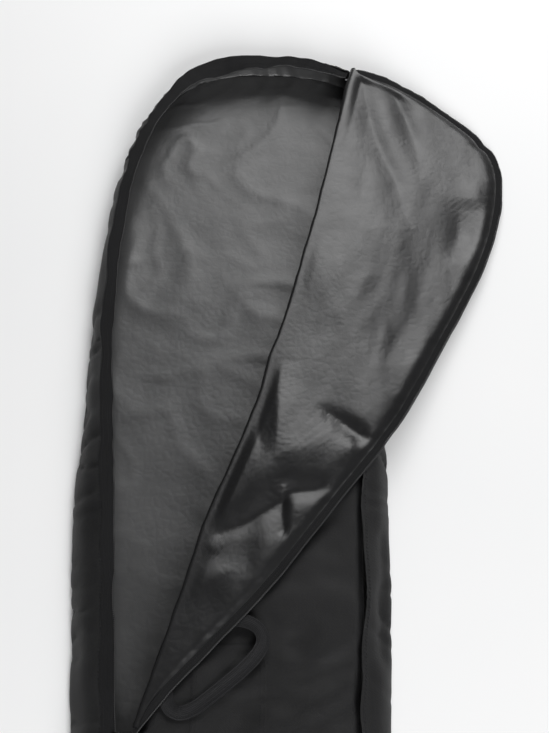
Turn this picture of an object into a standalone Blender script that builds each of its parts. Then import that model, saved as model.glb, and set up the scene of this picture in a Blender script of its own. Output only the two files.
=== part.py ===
"""Snowboard bag: a long flat fabric sleeve with a zip round its nose, unzipped and folded back.

Units are metres. +X is across the bag, +Y runs to the nose and +Z is up. The origin is the middle
of the back panel's underside. The cover is drawn in plan where it lies when the zip is closed, and
turned over about the fold line to where it lies when the bag is open.
"""
import math

import bmesh
import bpy
import numpy as np
from mathutils import Matrix

# Plan of the bag on the floor, clockwise from the left corner of the tail.
BODY_PLAN = [(-0.163, -0.720), (-0.174, -0.600), (-0.177, -0.400), (-0.180, -0.200), (-0.190, -0.050),
             (-0.197, 0.120), (-0.195, 0.280), (-0.186, 0.480), (-0.165, 0.620), (-0.130, 0.730),
             (-0.080, 0.795), (-0.020, 0.818), (0.050, 0.822), (0.120, 0.812), (0.172, 0.785),
             (0.192, 0.720), (0.199, 0.600), (0.199, 0.450), (0.197, 0.300), (0.193, 0.130),
             (0.189, -0.060), (0.181, -0.200), (0.177, -0.400), (0.174, -0.600), (0.163, -0.720),
             (0.128, -0.787), (0.060, -0.812), (-0.060, -0.812), (-0.128, -0.787)]

# The zip: straight up the left side, then round the nose to the right shoulder.
ZIP_START = (-0.122, -0.210)
ZIP_STRAIGHT_END = (-0.160, 0.300)
ZIP_BENDS = [(-0.160, 0.450), (-0.148, 0.580), (-0.120, 0.680), (-0.080, 0.755), (-0.030, 0.790),
             (0.040, 0.797), (0.100, 0.786), (0.165, 0.760)]
FOLD_FOOT = (-0.107, -0.210)
FOLD_TOP = (0.179, 0.757)

# Heights
FLOOR = 0.0
BACK_TOP = 0.0020
BACK_LINING = (0.0023, 0.0038)
WALL_TOP = 0.0493
PANEL = (0.0460, 0.0478)
STRIP = (0.0481, 0.0489)
TAPE = (0.0496, 0.0504)
COIL = (0.0489, 0.0511)
COVER_LINING = (0.0444, 0.0457)
HANDLE = (0.0515, 0.0531)
PATCH = (0.0481, 0.0512)
FOLD_HEIGHT = 0.0515

# Widths measured from the line where the two halves of the zip meet
COIL_INNER = 0.0011
COIL_OUTER = 0.0035
TAPE_INNER = 0.0038
BODY_TAPE_OUTER = 0.0180
COVER_TAPE_OUTER = 0.0160
COVER_PANEL_EDGE = 0.0165

WALL_THICKNESS = 0.0024
SEAM_INSET = 0.0300
BACK_INSET = 0.0050
LINING_INSET = 0.0070
FRONT_INSET = 0.0029
FOLD_CLEARANCE = 0.0040
STEP = 0.012

# Where the side walls meet, along Y, and half the gap between them
TAIL_JOIN = -0.70
LEFT_NOSE_JOIN = 0.62
RIGHT_NOSE_JOIN = 0.66
WALL_GAP = 0.0006

# Fixed front panel: its corner beside the slider, and how far its fold edge stops short of the fold's ends
SLIDER_CORNER = (-0.1115, -0.262)
FRONT_TOP_Y = 0.745
FOLD_FOOT_MARGIN = 0.010
FOLD_TOP_MARGIN = 0.019
STRIP_HALF_WIDTH = 0.0425
STRIP_ENDS = (-0.66, -0.11)

# The cover bends a second time, over the body's right edge.
BEND_X = 0.168
BEND_HEIGHT = 0.0571
BEND_CLEARANCE = 0.0010
BEND_ANGLE = math.radians(12.0)

# Carry handle: its centre line as (along the zip, out past the zip)
HANDLE_PATH = [(0.096, -0.028), (0.076, -0.024), (0.058, -0.014), (0.046, 0.000), (0.047, 0.014),
               (0.060, 0.024), (0.084, 0.031), (0.108, 0.037), (0.130, 0.0415), (0.150, 0.0435),
               (0.166, 0.041), (0.1755, 0.031), (0.177, 0.018), (0.172, 0.003), (0.163, -0.012),
               (0.152, -0.026)]
HANDLE_WIDTH = 0.016
HANDLE_HINGE = 0.0200
HANDLE_GAP = 0.0030
PATCH_ALONG = {"lower": (0.084, 0.108), "upper": (0.140, 0.164)}
PATCH_OUT = (-0.037, -0.018)

# Slider and puller, measured in the slider's frame: Y along the zip, towards the nose
SLIDER_LENGTH = (-0.0270, -0.0010)
SLIDER_HALF_WIDTH = 0.0060
SLIDER_PLATE = 0.0012
SLIDER_HALF_CHANNEL = 0.0017
FLANGE_WIDTH = 0.0010
TAPE_SLOT_HALF = 0.0009
ZIP_HEIGHT = (TAPE[0] + TAPE[1]) / 2
SLIDER_TOP = ZIP_HEIGHT + SLIDER_HALF_CHANNEL + SLIDER_PLATE
POST_HALF_WIDTH = 0.0006
POST_ENDS = (-0.0075, -0.0018)
POST_HALF_HEIGHT = 0.0022
ARCH_ENDS = (-0.0210, -0.0070)
ARCH_HALF_WIDTH = 0.0011
ARCH_RISE = 0.0028
ARCH_THICKNESS = 0.0014
PULLER_PIVOT_Y = -0.0140
PULLER_PIVOT_Z = SLIDER_TOP + ARCH_RISE / 2
PULLER_BAR = 0.0018
PULLER_THICKNESS = 0.0014
PULLER_HALF_WIDTH = 0.0042
PULLER_WINDOW = (0.0022, 0.0120)
PULLER_LENGTH = 0.0400
GRIP_HALF_WIDTH = 0.0050
GRIP_THICKNESS = 0.0032
GRIP_LENGTH = 0.0280
CHAIN_RANGE = (-0.0500, -0.0083)
COIL_START = -0.0080
BOTTOM_STOP = ((-0.0042, -0.0420), (0.0042, -0.0385))
STOP_THICKNESS = 0.0015
TOP_STOP_SIZE = (0.0050, 0.0045)
TOP_STOP_HEIGHTS = (0.0480, 0.0520)
ZIP_END_X = 0.159
SMALL_GAP = 0.0003


def material(name, colour, roughness, metallic=0.0):
    """Principled material of one colour."""
    made = bpy.data.materials.new(name)
    made.use_nodes = True
    shader = made.node_tree.nodes["Principled BSDF"]
    shader.inputs["Base Color"].default_value = (*colour, 1.0)
    shader.inputs["Roughness"].default_value = roughness
    shader.inputs["Metallic"].default_value = metallic
    return made


def add_object(name, mesh_data, finish, parent=None):
    """Named object in the scene, riding on the empty that marks its joint."""
    made = bpy.data.objects.new(name, mesh_data)
    bpy.context.scene.collection.objects.link(made)
    mesh_data.materials.append(finish)
    if parent is not None:
        made.parent = parent
        made.matrix_parent_inverse = parent.matrix_basis.inverted()
    return made


def add_empty(name, location, parent=None, turn=0.0):
    """Empty on a joint's axis."""
    made = bpy.data.objects.new(name, None)
    bpy.context.scene.collection.objects.link(made)
    made.matrix_basis = Matrix.Translation(location) @ Matrix.Rotation(turn, 4, "Z")
    made.empty_display_size = 0.02
    if parent is not None:
        made.parent = parent
        made.matrix_parent_inverse = parent.matrix_basis.inverted()
    return made


# ---------------------------------------------------------------- plan curves

def lengths(points):
    """Distance along a polyline at each of its points."""
    legs = np.linalg.norm(np.diff(points, axis=0), axis=1)
    return np.concatenate([[0.0], np.cumsum(legs)])


def resample(points, count):
    """The same polyline with evenly spaced points."""
    along = lengths(points)
    wanted = np.linspace(0.0, along[-1], count)
    return np.stack([np.interp(wanted, along, points[:, axis]) for axis in range(2)], axis=1)


def spaced(points, step=STEP):
    """The same polyline with points about one step apart."""
    return resample(points, max(2, round(lengths(points)[-1] / step) + 1))


def smooth(points, closed=False, per_leg=12):
    """Catmull-Rom curve through the points."""
    points = np.array(points, float)
    if closed:
        padded = np.vstack([points[-1], points, points[:2]])
    else:
        padded = np.vstack([2 * points[0] - points[1], points, 2 * points[-1] - points[-2]])
    curve = []
    for p0, p1, p2, p3 in zip(padded, padded[1:], padded[2:], padded[3:]):
        for t in np.arange(per_leg) / per_leg:
            curve.append(0.5 * (2 * p1 + (p2 - p0) * t + (2 * p0 - 5 * p1 + 4 * p2 - p3) * t ** 2
                                + (3 * p1 - p0 - 3 * p2 + p3) * t ** 3))
    curve.append(padded[-2])
    return np.array(curve)


def normals(points, closed=False):
    """Unit vectors to the left of the direction of travel."""
    if closed:
        ahead = np.roll(points, -1, axis=0) - np.roll(points, 1, axis=0)
    else:
        ahead = np.gradient(points, axis=0)
    ahead /= np.linalg.norm(ahead, axis=1)[:, None]
    return np.stack([-ahead[:, 1], ahead[:, 0]], axis=1)


def shifted(points, distance, closed=False):
    """Parallel curve: positive is to the left of the direction of travel."""
    return points + distance * normals(points, closed)


def stretch(points, keep):
    """The longest run of the polyline where keep(points) is above zero, cut exactly at its ends."""
    value = keep(points)
    inside = value > 0
    runs = []
    start = None
    for index, flag in enumerate(np.append(inside, False)):
        if flag and start is None:
            start = index
        if not flag and start is not None:
            runs.append((start, index - 1))
            start = None
    first, last = max(runs, key=lambda run: run[1] - run[0])
    cut = list(points[first:last + 1])
    if first > 0:
        share = value[first] / (value[first] - value[first - 1])
        cut.insert(0, points[first] + share * (points[first - 1] - points[first]))
    if last < len(points) - 1:
        share = value[last] / (value[last] - value[last + 1])
        cut.append(points[last] + share * (points[last + 1] - points[last]))
    return np.array(cut)


def clipped(polygon, keep):
    """The part of a closed polygon where the straight-line measure keep(points) is above zero."""
    value = keep(polygon)
    result = []
    for index, point in enumerate(polygon):
        following = (index + 1) % len(polygon)
        if value[index] > 0:
            result.append(point)
        if (value[index] > 0) != (value[following] > 0):
            share = value[index] / (value[index] - value[following])
            result.append(point + share * (polygon[following] - point))
    return np.array(result)


ZIP_ORIGIN = np.array(ZIP_START)
ZIP_DIRECTION = np.array(ZIP_STRAIGHT_END) - ZIP_ORIGIN
ZIP_DIRECTION = ZIP_DIRECTION / np.linalg.norm(ZIP_DIRECTION)
ZIP_OUTWARD = np.array([-ZIP_DIRECTION[1], ZIP_DIRECTION[0]])
FOLD_ORIGIN = np.array(FOLD_FOOT)
FOLD_DIRECTION = np.array(FOLD_TOP) - FOLD_ORIGIN
FOLD_DIRECTION = FOLD_DIRECTION / np.linalg.norm(FOLD_DIRECTION)
FOLD_RIGHT = np.array([FOLD_DIRECTION[1], -FOLD_DIRECTION[0]])


def zip_line():
    """Where the two halves of the zip meet, from the slider to the right shoulder."""
    straight_end = np.array(ZIP_STRAIGHT_END)
    lead_in = straight_end - 0.15 * ZIP_DIRECTION
    bends = smooth([lead_in, straight_end] + ZIP_BENDS)
    bends = stretch(bends, lambda points: (points - straight_end) @ ZIP_DIRECTION + 1e-6)
    return spaced(np.vstack([ZIP_ORIGIN, bends]), STEP / 2)


def beside_zip(along, out):
    """Plan point given along the straight of the zip and out past it."""
    return ZIP_ORIGIN + along * ZIP_DIRECTION + out * ZIP_OUTWARD


def right_of_fold(points):
    """Distance to the right of the fold line."""
    return (points - FOLD_ORIGIN) @ FOLD_RIGHT


def turned_over(points):
    """Where plan points of the closed cover lie when it is folded back."""
    return points - 2 * right_of_fold(points)[:, None] * FOLD_RIGHT


def turned_heights(heights):
    """Height range of a layer of the cover when it is folded back."""
    low, high = heights
    return 2 * FOLD_HEIGHT - high, 2 * FOLD_HEIGHT - low


# ---------------------------------------------------------------- solids

def finish_mesh(name, work):
    """Mesh data with its faces pointing out."""
    bmesh.ops.recalc_face_normals(work, faces=work.faces)
    data = bpy.data.meshes.new(name)
    work.to_mesh(data)
    work.free()
    return data


def plate(name, outline, heights):
    """Flat sheet: a plan outline with a lower and an upper height."""
    work = bmesh.new()
    lower = [work.verts.new((x, y, heights[0])) for x, y in outline]
    upper = [work.verts.new((x, y, heights[1])) for x, y in outline]
    caps = [work.faces.new(lower), work.faces.new(upper[::-1])]
    for index in range(len(outline)):
        work.faces.new((lower[index - 1], upper[index - 1], upper[index], lower[index]))
    bmesh.ops.triangulate(work, faces=caps)
    return finish_mesh(name, work)


def loft(name, rails):
    """Strip with one corner of its cross-section on each rail."""
    work = bmesh.new()
    rings = [[work.verts.new(point) for point in ring] for ring in zip(*rails)]
    for ring, following in zip(rings, rings[1:]):
        for corner in range(len(rails)):
            work.faces.new((ring[corner - 1], ring[corner], following[corner], following[corner - 1]))
    work.faces.new(rings[0])
    work.faces.new(rings[-1][::-1])
    return finish_mesh(name, work)


def raised(points, height):
    """Plan points at one height."""
    return [(x, y, height) for x, y in points]


def ribbon(name, inner, outer, heights, step=STEP):
    """Flat strip between two plan curves."""
    count = max(2, round(max(lengths(inner)[-1], lengths(outer)[-1]) / step) + 1)
    inner = resample(inner, count)
    outer = resample(outer, count)
    return loft(name, [raised(inner, heights[0]), raised(inner, heights[1]),
                       raised(outer, heights[1]), raised(outer, heights[0])])


def box(name, low, high):
    """Rectangular block."""
    work = bmesh.new()
    bmesh.ops.create_cube(work, size=1.0)
    for vertex in work.verts:
        for axis in range(3):
            vertex.co[axis] = high[axis] if vertex.co[axis] > 0 else low[axis]
    return finish_mesh(name, work)


# ---------------------------------------------------------------- the body

def seam_plan(body, zip_curve):
    """Upper edge of the side walls: along the zip tape, and inset from the body elsewhere."""
    along_zip = spaced(shifted(zip_curve, BODY_TAPE_OUTER), 0.06)
    inset = shifted(body, -SEAM_INSET, closed=True)
    right_side = inset[(inset[:, 0] > 0) & (inset[:, 1] < 0.66)]
    tail_and_left = inset[(inset[:, 0] <= 0) & (inset[:, 1] < -0.30)]
    first_left = np.argmax(np.linalg.norm(np.diff(tail_and_left, axis=0), axis=1)) + 1
    tail_and_left = np.roll(tail_and_left, -first_left, axis=0)
    rest = spaced(np.vstack([right_side, tail_and_left]), 0.06)
    return smooth(np.vstack([along_zip, rest]), closed=True, per_leg=8)


def nearest(curve, points):
    """For each point, the closest point of a curve."""
    dense = spaced(curve, 0.0003)
    distance = np.linalg.norm(points[:, None] - dense[None], axis=2)
    return dense[distance.argmin(axis=1)]


def wall(name, top, body):
    """Side wall from the floor outline up to the seam."""
    top = spaced(top)
    foot = nearest(body, top)
    inward = -WALL_THICKNESS * normals(top)
    return loft(name, [raised(foot, FLOOR), raised(top, WALL_TOP),
                       raised(top + inward, WALL_TOP), raised(foot + inward, FLOOR)])


def build_shell(finishes, zip_curve):
    """Everything that stays with the back panel."""
    body = smooth(BODY_PLAN, closed=True)
    seam = seam_plan(body[:-1], zip_curve)[:-1]
    seam = np.vstack([seam, seam])
    fabric = finishes["shell_fabric"]

    outline = resample(body, 220)[:-1]
    base = shifted(outline, -BACK_INSET, True)
    add_object("back_panel", plate("back_panel", base, (FLOOR, BACK_TOP)), fabric)
    lining = shifted(outline, -LINING_INSET, True)
    add_object("back_lining", plate("back_lining", lining, BACK_LINING), finishes["lining"])

    def side(points, sign, nose_join):
        run = np.minimum(points[:, 1] - TAIL_JOIN, nose_join - points[:, 1]) - WALL_GAP
        return np.where(sign * points[:, 0] > 0, run, -1.0)

    def nose(points):
        join = np.where(points[:, 0] < 0.0, LEFT_NOSE_JOIN, RIGHT_NOSE_JOIN)
        return points[:, 1] - join - WALL_GAP

    walls = {
        "left_gusset": lambda p: side(p, -1.0, LEFT_NOSE_JOIN),
        "nose_gusset": nose,
        "right_gusset": lambda p: side(p, 1.0, RIGHT_NOSE_JOIN),
        "tail_gusset": lambda p: TAIL_JOIN - p[:, 1] - WALL_GAP,
    }
    for name, keep in walls.items():
        add_object(name, wall(name, stretch(seam, keep), body), fabric)

    add_object("front_panel", plate("front_panel", front_plan(seam), PANEL), fabric)
    strip = box("front_strip", (-STRIP_HALF_WIDTH, STRIP_ENDS[0], STRIP[0]),
                (STRIP_HALF_WIDTH, STRIP_ENDS[1], STRIP[1]))
    add_object("front_strip", strip, finishes["strip"])


def front_plan(seam):
    """Plan of the fixed front panel: right of the fold line, and all of the tail end."""
    inset = shifted(seam, -FRONT_INSET)
    corner_x, corner_y = SLIDER_CORNER
    edge = spaced(stretch(inset, lambda p: np.where(p[:, 0] > 0, FRONT_TOP_Y, corner_y) - p[:, 1]))
    fold_start = FOLD_ORIGIN + FOLD_FOOT_MARGIN * FOLD_DIRECTION + FOLD_CLEARANCE * FOLD_RIGHT
    fold_end = np.array(FOLD_TOP) - FOLD_TOP_MARGIN * FOLD_DIRECTION + FOLD_CLEARANCE * FOLD_RIGHT
    fold_edge = spaced(np.array([fold_start, fold_end]), 0.05)
    beside_slider = np.array([SLIDER_CORNER, (corner_x, fold_start[1])])
    return np.vstack([edge, beside_slider, fold_edge])


def build_body_zip(finishes, zip_curve):
    """The half of the zip that stays on the body, its closed end and its stops."""
    run = stretch(zip_curve, lambda p: ZIP_END_X - p[:, 0])
    run = np.vstack([ZIP_ORIGIN + COIL_START * ZIP_DIRECTION, run[1:]])
    tape = ribbon("body_zip_tape", shifted(run, TAPE_INNER), shifted(run, BODY_TAPE_OUTER), TAPE)
    add_object("body_zip_tape", tape, finishes["zip_tape"])
    coil = ribbon("body_zip_coil", shifted(run, COIL_INNER), shifted(run, COIL_OUTER), COIL)
    add_object("body_zip_coil", coil, finishes["zip_coil"])
    tip = run[-1]
    out = normals(run)[-1]
    ahead = np.array([out[1], -out[0]])
    start = tip + SMALL_GAP * ahead
    length, width = TOP_STOP_SIZE
    corners = [start, start + width * out, start + width * out + length * ahead, start + length * ahead]
    add_object("zip_top_stop", plate("zip_top_stop", np.array(corners), TOP_STOP_HEIGHTS), finishes["hardware"])


def build_slider(finishes):
    """Closed end of the chain, bottom stop, slider and puller, in the slider's frame."""
    turn = math.atan2(-ZIP_DIRECTION[0], ZIP_DIRECTION[1])
    frame = Matrix.Translation((*ZIP_START, 0.0)) @ Matrix.Rotation(turn, 4, "Z")

    def placed(data):
        data.transform(frame)
        return data

    half_tape = BODY_TAPE_OUTER
    section = [(-half_tape, TAPE[0]), (-COIL_OUTER, TAPE[0]), (-COIL_OUTER, COIL[0]), (COIL_OUTER, COIL[0]),
               (COIL_OUTER, TAPE[0]), (half_tape, TAPE[0]), (half_tape, TAPE[1]), (COIL_OUTER, TAPE[1]),
               (COIL_OUTER, COIL[1]), (-COIL_OUTER, COIL[1]), (-COIL_OUTER, TAPE[1]), (-half_tape, TAPE[1])]
    chain = loft("closed_zip_chain", [[(x, y, z) for y in CHAIN_RANGE] for x, z in section])
    add_object("closed_zip_chain", placed(chain), finishes["zip_tape"])
    stop_low = COIL[1] + SMALL_GAP
    stop = box("zip_bottom_stop", (*BOTTOM_STOP[0], stop_low), (*BOTTOM_STOP[1], stop_low + STOP_THICKNESS))
    add_object("zip_bottom_stop", placed(stop), finishes["hardware"])

    slide_axis = add_empty("slide_axis", (*ZIP_START, ZIP_HEIGHT), turn=turn)
    top = slider_half("slider_body", 1.0)
    body = add_object("slider_body", placed(top), finishes["hardware"], slide_axis)
    bottom = add_object("slider_lower_plate", placed(slider_half("slider_lower_plate", -1.0)),
                        finishes["hardware"], slide_axis)
    post_data = box("slider_post", (-POST_HALF_WIDTH, POST_ENDS[0], ZIP_HEIGHT - POST_HALF_HEIGHT),
                    (POST_HALF_WIDTH, POST_ENDS[1], ZIP_HEIGHT + POST_HALF_HEIGHT))
    post = add_object("slider_post", placed(post_data), finishes["hardware"], slide_axis)
    for part in (post, bottom):
        part.hide_render = True
        part.display_type = "WIRE"
        union = body.modifiers.new("join_" + part.name, "BOOLEAN")
        union.operation = "UNION"
        union.object = part
        union.solver = "EXACT"

    low, high = ARCH_ENDS
    foot = SLIDER_TOP + SMALL_GAP
    under = SLIDER_TOP + ARCH_RISE
    over = under + ARCH_THICKNESS
    leg = ARCH_THICKNESS
    arch = [(low, foot), (low, over), (high, over), (high, foot),
            (high - leg, foot), (high - leg, under), (low + leg, under), (low + leg, foot)]
    bridge = loft("slider_bridge", [[(-ARCH_HALF_WIDTH, y, z), (ARCH_HALF_WIDTH, y, z)] for y, z in arch])
    add_object("slider_bridge", placed(bridge), finishes["hardware"], slide_axis)
    build_puller(finishes, placed, slide_axis)


def slider_half(name, side):
    """One plate of the slider with a flange down each side. side is 1 for the top, -1 for the bottom."""
    outer = SLIDER_HALF_CHANNEL + SLIDER_PLATE
    inner_x = SLIDER_HALF_WIDTH - FLANGE_WIDTH
    section = [(-SLIDER_HALF_WIDTH, outer), (-SLIDER_HALF_WIDTH, TAPE_SLOT_HALF), (-inner_x, TAPE_SLOT_HALF),
               (-inner_x, SLIDER_HALF_CHANNEL), (inner_x, SLIDER_HALF_CHANNEL), (inner_x, TAPE_SLOT_HALF),
               (SLIDER_HALF_WIDTH, TAPE_SLOT_HALF), (SLIDER_HALF_WIDTH, outer)]
    return loft(name, [[(x, y, ZIP_HEIGHT + side * z) for y in SLIDER_LENGTH] for x, z in section])


def build_puller(finishes, placed, slide_axis):
    """Metal tab whose end bar turns under the slider's bridge, with a moulded grip on its far end."""
    pivot = placed_point((0.0, PULLER_PIVOT_Y, PULLER_PIVOT_Z))
    puller_axis = add_empty("puller_axis", pivot, parent=slide_axis)

    near_end = PULLER_PIVOT_Y + PULLER_BAR / 2
    far_end = near_end - PULLER_LENGTH
    window_half, window_length = PULLER_WINDOW
    window_end = near_end - PULLER_BAR
    window = ((-window_half, window_end - window_length), (window_half, window_end))
    heights = (PULLER_PIVOT_Z - PULLER_THICKNESS / 2, PULLER_PIVOT_Z + PULLER_THICKNESS / 2)
    low_corner = (-PULLER_HALF_WIDTH, far_end)
    high_corner = (PULLER_HALF_WIDTH, near_end)
    tab = frame_plate("puller_tab", low_corner, high_corner, window, heights)
    add_object("puller_tab", placed(tab), finishes["hardware"], puller_axis)

    grip_start = far_end - SMALL_GAP
    grip = box("puller_grip", (-GRIP_HALF_WIDTH, grip_start - GRIP_LENGTH, PULLER_PIVOT_Z - GRIP_THICKNESS / 2),
               (GRIP_HALF_WIDTH, grip_start, PULLER_PIVOT_Z + GRIP_THICKNESS / 2))
    add_object("puller_grip", placed(grip), finishes["rubber"], puller_axis)


def placed_point(point):
    """World place of a point given in the slider's frame."""
    x, y, z = point
    plan = ZIP_ORIGIN - x * ZIP_OUTWARD + y * ZIP_DIRECTION
    return float(plan[0]), float(plan[1]), z


def frame_plate(name, low, high, window, heights):
    """Flat rectangle with a rectangular window through it."""
    outer = [(low[0], low[1]), (high[0], low[1]), (high[0], high[1]), (low[0], high[1])]
    (wx0, wy0), (wx1, wy1) = window
    inner = [(wx0, wy0), (wx1, wy0), (wx1, wy1), (wx0, wy1)]
    work = bmesh.new()
    low_z, high_z = heights
    levels = ((outer, low_z), (outer, high_z), (inner, high_z), (inner, low_z))
    rings = [[work.verts.new((x, y, z)) for x, y in ring] for ring, z in levels]
    for level in range(4):
        ring, following = rings[level - 1], rings[level]
        for corner in range(4):
            work.faces.new((ring[corner - 1], ring[corner], following[corner], following[corner - 1]))
    return finish_mesh(name, work)


# ---------------------------------------------------------------- the cover

def build_cover(finishes, zip_curve):
    """The part of the front that the zip frees, folded back over the rest."""
    hinge = add_empty("cover_fold_axis", (*FOLD_FOOT, FOLD_HEIGHT))
    bend = add_empty("cover_bend_axis", (BEND_X, 0.40, BEND_HEIGHT), parent=hinge)
    droop = (Matrix.Translation((BEND_X, 0.0, BEND_HEIGHT)) @ Matrix.Rotation(BEND_ANGLE, 4, "Y")
             @ Matrix.Translation((-BEND_X, 0.0, -BEND_HEIGHT)))

    def inner_side(points):
        return BEND_X - BEND_CLEARANCE - points[:, 0]

    def outer_side(points):
        return points[:, 0] - BEND_X - BEND_CLEARANCE

    def clear_of_fold(points):
        return right_of_fold(points) - FOLD_CLEARANCE

    def add(name, data, finish, outer):
        if outer:
            data.transform(droop)
        add_object(name, data, finish, bend if outer else hinge)

    whole = turned_over(shifted(zip_curve, -COVER_PANEL_EDGE))
    whole = clipped(whole[::2], clear_of_fold)
    for prefix, side, outer in (("cover_inner_", inner_side, False), ("cover_outer_", outer_side, True)):
        plan = clipped(whole, side)
        for part, heights, finish in (("panel", PANEL, "shell_fabric"), ("lining", COVER_LINING, "lining")):
            sheet = plate(prefix + part, plan, turned_heights(heights))
            add(prefix + part, sheet, finishes[finish], outer)
        for part, near, far, heights, finish in (
                ("zip_tape", TAPE_INNER, COVER_TAPE_OUTER, TAPE, "zip_tape"),
                ("zip_coil", COIL_INNER, COIL_OUTER, COIL, "zip_coil")):
            rails = [stretch(turned_over(shifted(zip_curve, -distance)),
                             lambda p: np.minimum(side(p), clear_of_fold(p))) for distance in (near, far)]
            data = ribbon(prefix + part, rails[0], rails[1], turned_heights(heights))
            add(prefix + part, data, finishes[finish], outer)
    build_handle(finishes, hinge)


def build_handle(finishes, hinge):
    """Webbing loop sewn to the cover's outer face beside the zip."""
    path = smooth(HANDLE_PATH)
    low_cut = HANDLE_HINGE - HANDLE_GAP / 2
    high_cut = HANDLE_HINGE + HANDLE_GAP / 2
    middle = np.argmax(path[:, 1])
    pieces = {
        "handle_end_lower": (path[:middle], lambda p: low_cut - p[:, 1]),
        "handle_end_upper": (path[middle:], lambda p: low_cut - p[:, 1]),
        "handle_loop": (path, lambda p: p[:, 1] - high_cut),
    }
    pivot_plan = turned_over(np.array([beside_zip(0.123, HANDLE_HINGE)]))[0]
    pivot_height = 2 * FOLD_HEIGHT - (HANDLE[0] + HANDLE[1]) / 2
    handle_axis = add_empty("handle_axis", (*pivot_plan, pivot_height), parent=hinge)
    for name, (line, keep) in pieces.items():
        edges = [stretch(shifted(line, side * HANDLE_WIDTH / 2), keep) for side in (-1, 1)]
        edges = [turned_over(np.array([beside_zip(*point) for point in edge])) for edge in edges]
        data = ribbon(name, edges[0], edges[1], turned_heights(HANDLE), 0.006)
        add_object(name, data, finishes["webbing"], handle_axis if name == "handle_loop" else hinge)
    for name, (start, stop) in PATCH_ALONG.items():
        corners = [(start, PATCH_OUT[0]), (stop, PATCH_OUT[0]), (stop, PATCH_OUT[1]), (start, PATCH_OUT[1])]
        plan = turned_over(np.array([beside_zip(*corner) for corner in corners]))
        label = "handle_patch_" + name
        add_object(label, plate(label, plan, turned_heights(PATCH)), finishes["webbing"], hinge)


def main():
    """Build the bag in an empty scene."""
    for existing in list(bpy.data.objects):
        bpy.data.objects.remove(existing, do_unlink=True)
    finishes = {
        "shell_fabric": material("shell_fabric", (0.018, 0.018, 0.020), 0.85),
        "lining": material("lining", (0.045, 0.045, 0.047), 0.45),
        "strip": material("strip", (0.022, 0.022, 0.024), 0.80),
        "zip_tape": material("zip_tape", (0.012, 0.012, 0.013), 0.80),
        "zip_coil": material("zip_coil", (0.015, 0.015, 0.016), 0.40),
        "webbing": material("webbing", (0.020, 0.020, 0.022), 0.75),
        "hardware": material("hardware", (0.050, 0.050, 0.055), 0.35, 1.0),
        "rubber": material("rubber", (0.015, 0.015, 0.015), 0.60),
    }
    zip_curve = zip_line()
    build_shell(finishes, zip_curve)
    build_body_zip(finishes, zip_curve)
    build_slider(finishes)
    build_cover(finishes, zip_curve)


main()
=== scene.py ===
"""Looks of the snowboard bag: cloth, zips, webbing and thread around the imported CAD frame.

Units are metres, in the CAD's frame: +X across the bag, +Y to the nose, +Z up. The plan lines below
are the ones that the part is built on, so each piece of cloth lies where its CAD solid lies.
"""

import math

import bmesh
import bpy
import numpy as np
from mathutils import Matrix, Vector


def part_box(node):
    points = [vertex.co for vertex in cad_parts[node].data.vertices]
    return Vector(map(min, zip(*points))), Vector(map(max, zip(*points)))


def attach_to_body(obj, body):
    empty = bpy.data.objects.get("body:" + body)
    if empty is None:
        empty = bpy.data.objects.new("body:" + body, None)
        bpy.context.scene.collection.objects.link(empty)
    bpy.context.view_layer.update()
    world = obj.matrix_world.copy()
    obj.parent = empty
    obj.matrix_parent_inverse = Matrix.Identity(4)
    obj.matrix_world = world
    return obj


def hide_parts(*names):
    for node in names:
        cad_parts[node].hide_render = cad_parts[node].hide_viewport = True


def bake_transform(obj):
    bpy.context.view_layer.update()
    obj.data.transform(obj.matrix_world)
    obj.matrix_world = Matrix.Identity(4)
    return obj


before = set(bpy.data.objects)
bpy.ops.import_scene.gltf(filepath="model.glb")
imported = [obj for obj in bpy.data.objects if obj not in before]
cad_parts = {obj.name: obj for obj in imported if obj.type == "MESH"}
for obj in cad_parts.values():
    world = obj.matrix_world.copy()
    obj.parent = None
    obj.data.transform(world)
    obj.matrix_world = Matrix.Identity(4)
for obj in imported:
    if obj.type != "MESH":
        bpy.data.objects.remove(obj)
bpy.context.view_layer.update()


# Plan of the bag on the floor, clockwise from the left corner of the tail.
BODY_PLAN = [(-0.163, -0.720), (-0.174, -0.600), (-0.177, -0.400), (-0.180, -0.200), (-0.190, -0.050),
             (-0.197, 0.120), (-0.195, 0.280), (-0.186, 0.480), (-0.165, 0.620), (-0.130, 0.730),
             (-0.080, 0.795), (-0.020, 0.818), (0.050, 0.822), (0.120, 0.812), (0.172, 0.785),
             (0.192, 0.720), (0.199, 0.600), (0.199, 0.450), (0.197, 0.300), (0.193, 0.130),
             (0.189, -0.060), (0.181, -0.200), (0.177, -0.400), (0.174, -0.600), (0.163, -0.720),
             (0.128, -0.787), (0.060, -0.812), (-0.060, -0.812), (-0.128, -0.787)]

# The zip: straight up the left side, then round the nose to the right shoulder.
ZIP_START = (-0.122, -0.210)
ZIP_STRAIGHT_END = (-0.160, 0.300)
ZIP_BENDS = [(-0.160, 0.450), (-0.148, 0.580), (-0.120, 0.680), (-0.080, 0.755), (-0.030, 0.790),
             (0.040, 0.797), (0.100, 0.786), (0.165, 0.760)]

# The hinge line, about which the cover is folded back
FOLD_FOOT = (-0.107, -0.210)
FOLD_TOP = (0.179, 0.757)

# Where the body's half of the zip ends, and the closed chain's stretch along the zip's straight part
ZIP_END_X = 0.159
CHAIN_ENDS = (-0.0500, -0.0083)
CHAIN_TAIL = 0.0160
CHAIN_UNDER_SLIDER = 0.0085

# Widths measured from the line where the two halves of the zip meet. The cover's cloth ends at its hem,
# and its tape overlaps the hem.
COIL_LINE = 0.0023
TAPE_INNER = 0.0034
BODY_TAPE_OUTER = 0.0180
BODY_TAPE_SEAM = 0.0190
COVER_TAPE_OUTER = 0.0160
COVER_HEM = 0.0118
HEM_OVERLAP = 0.0018

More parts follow.
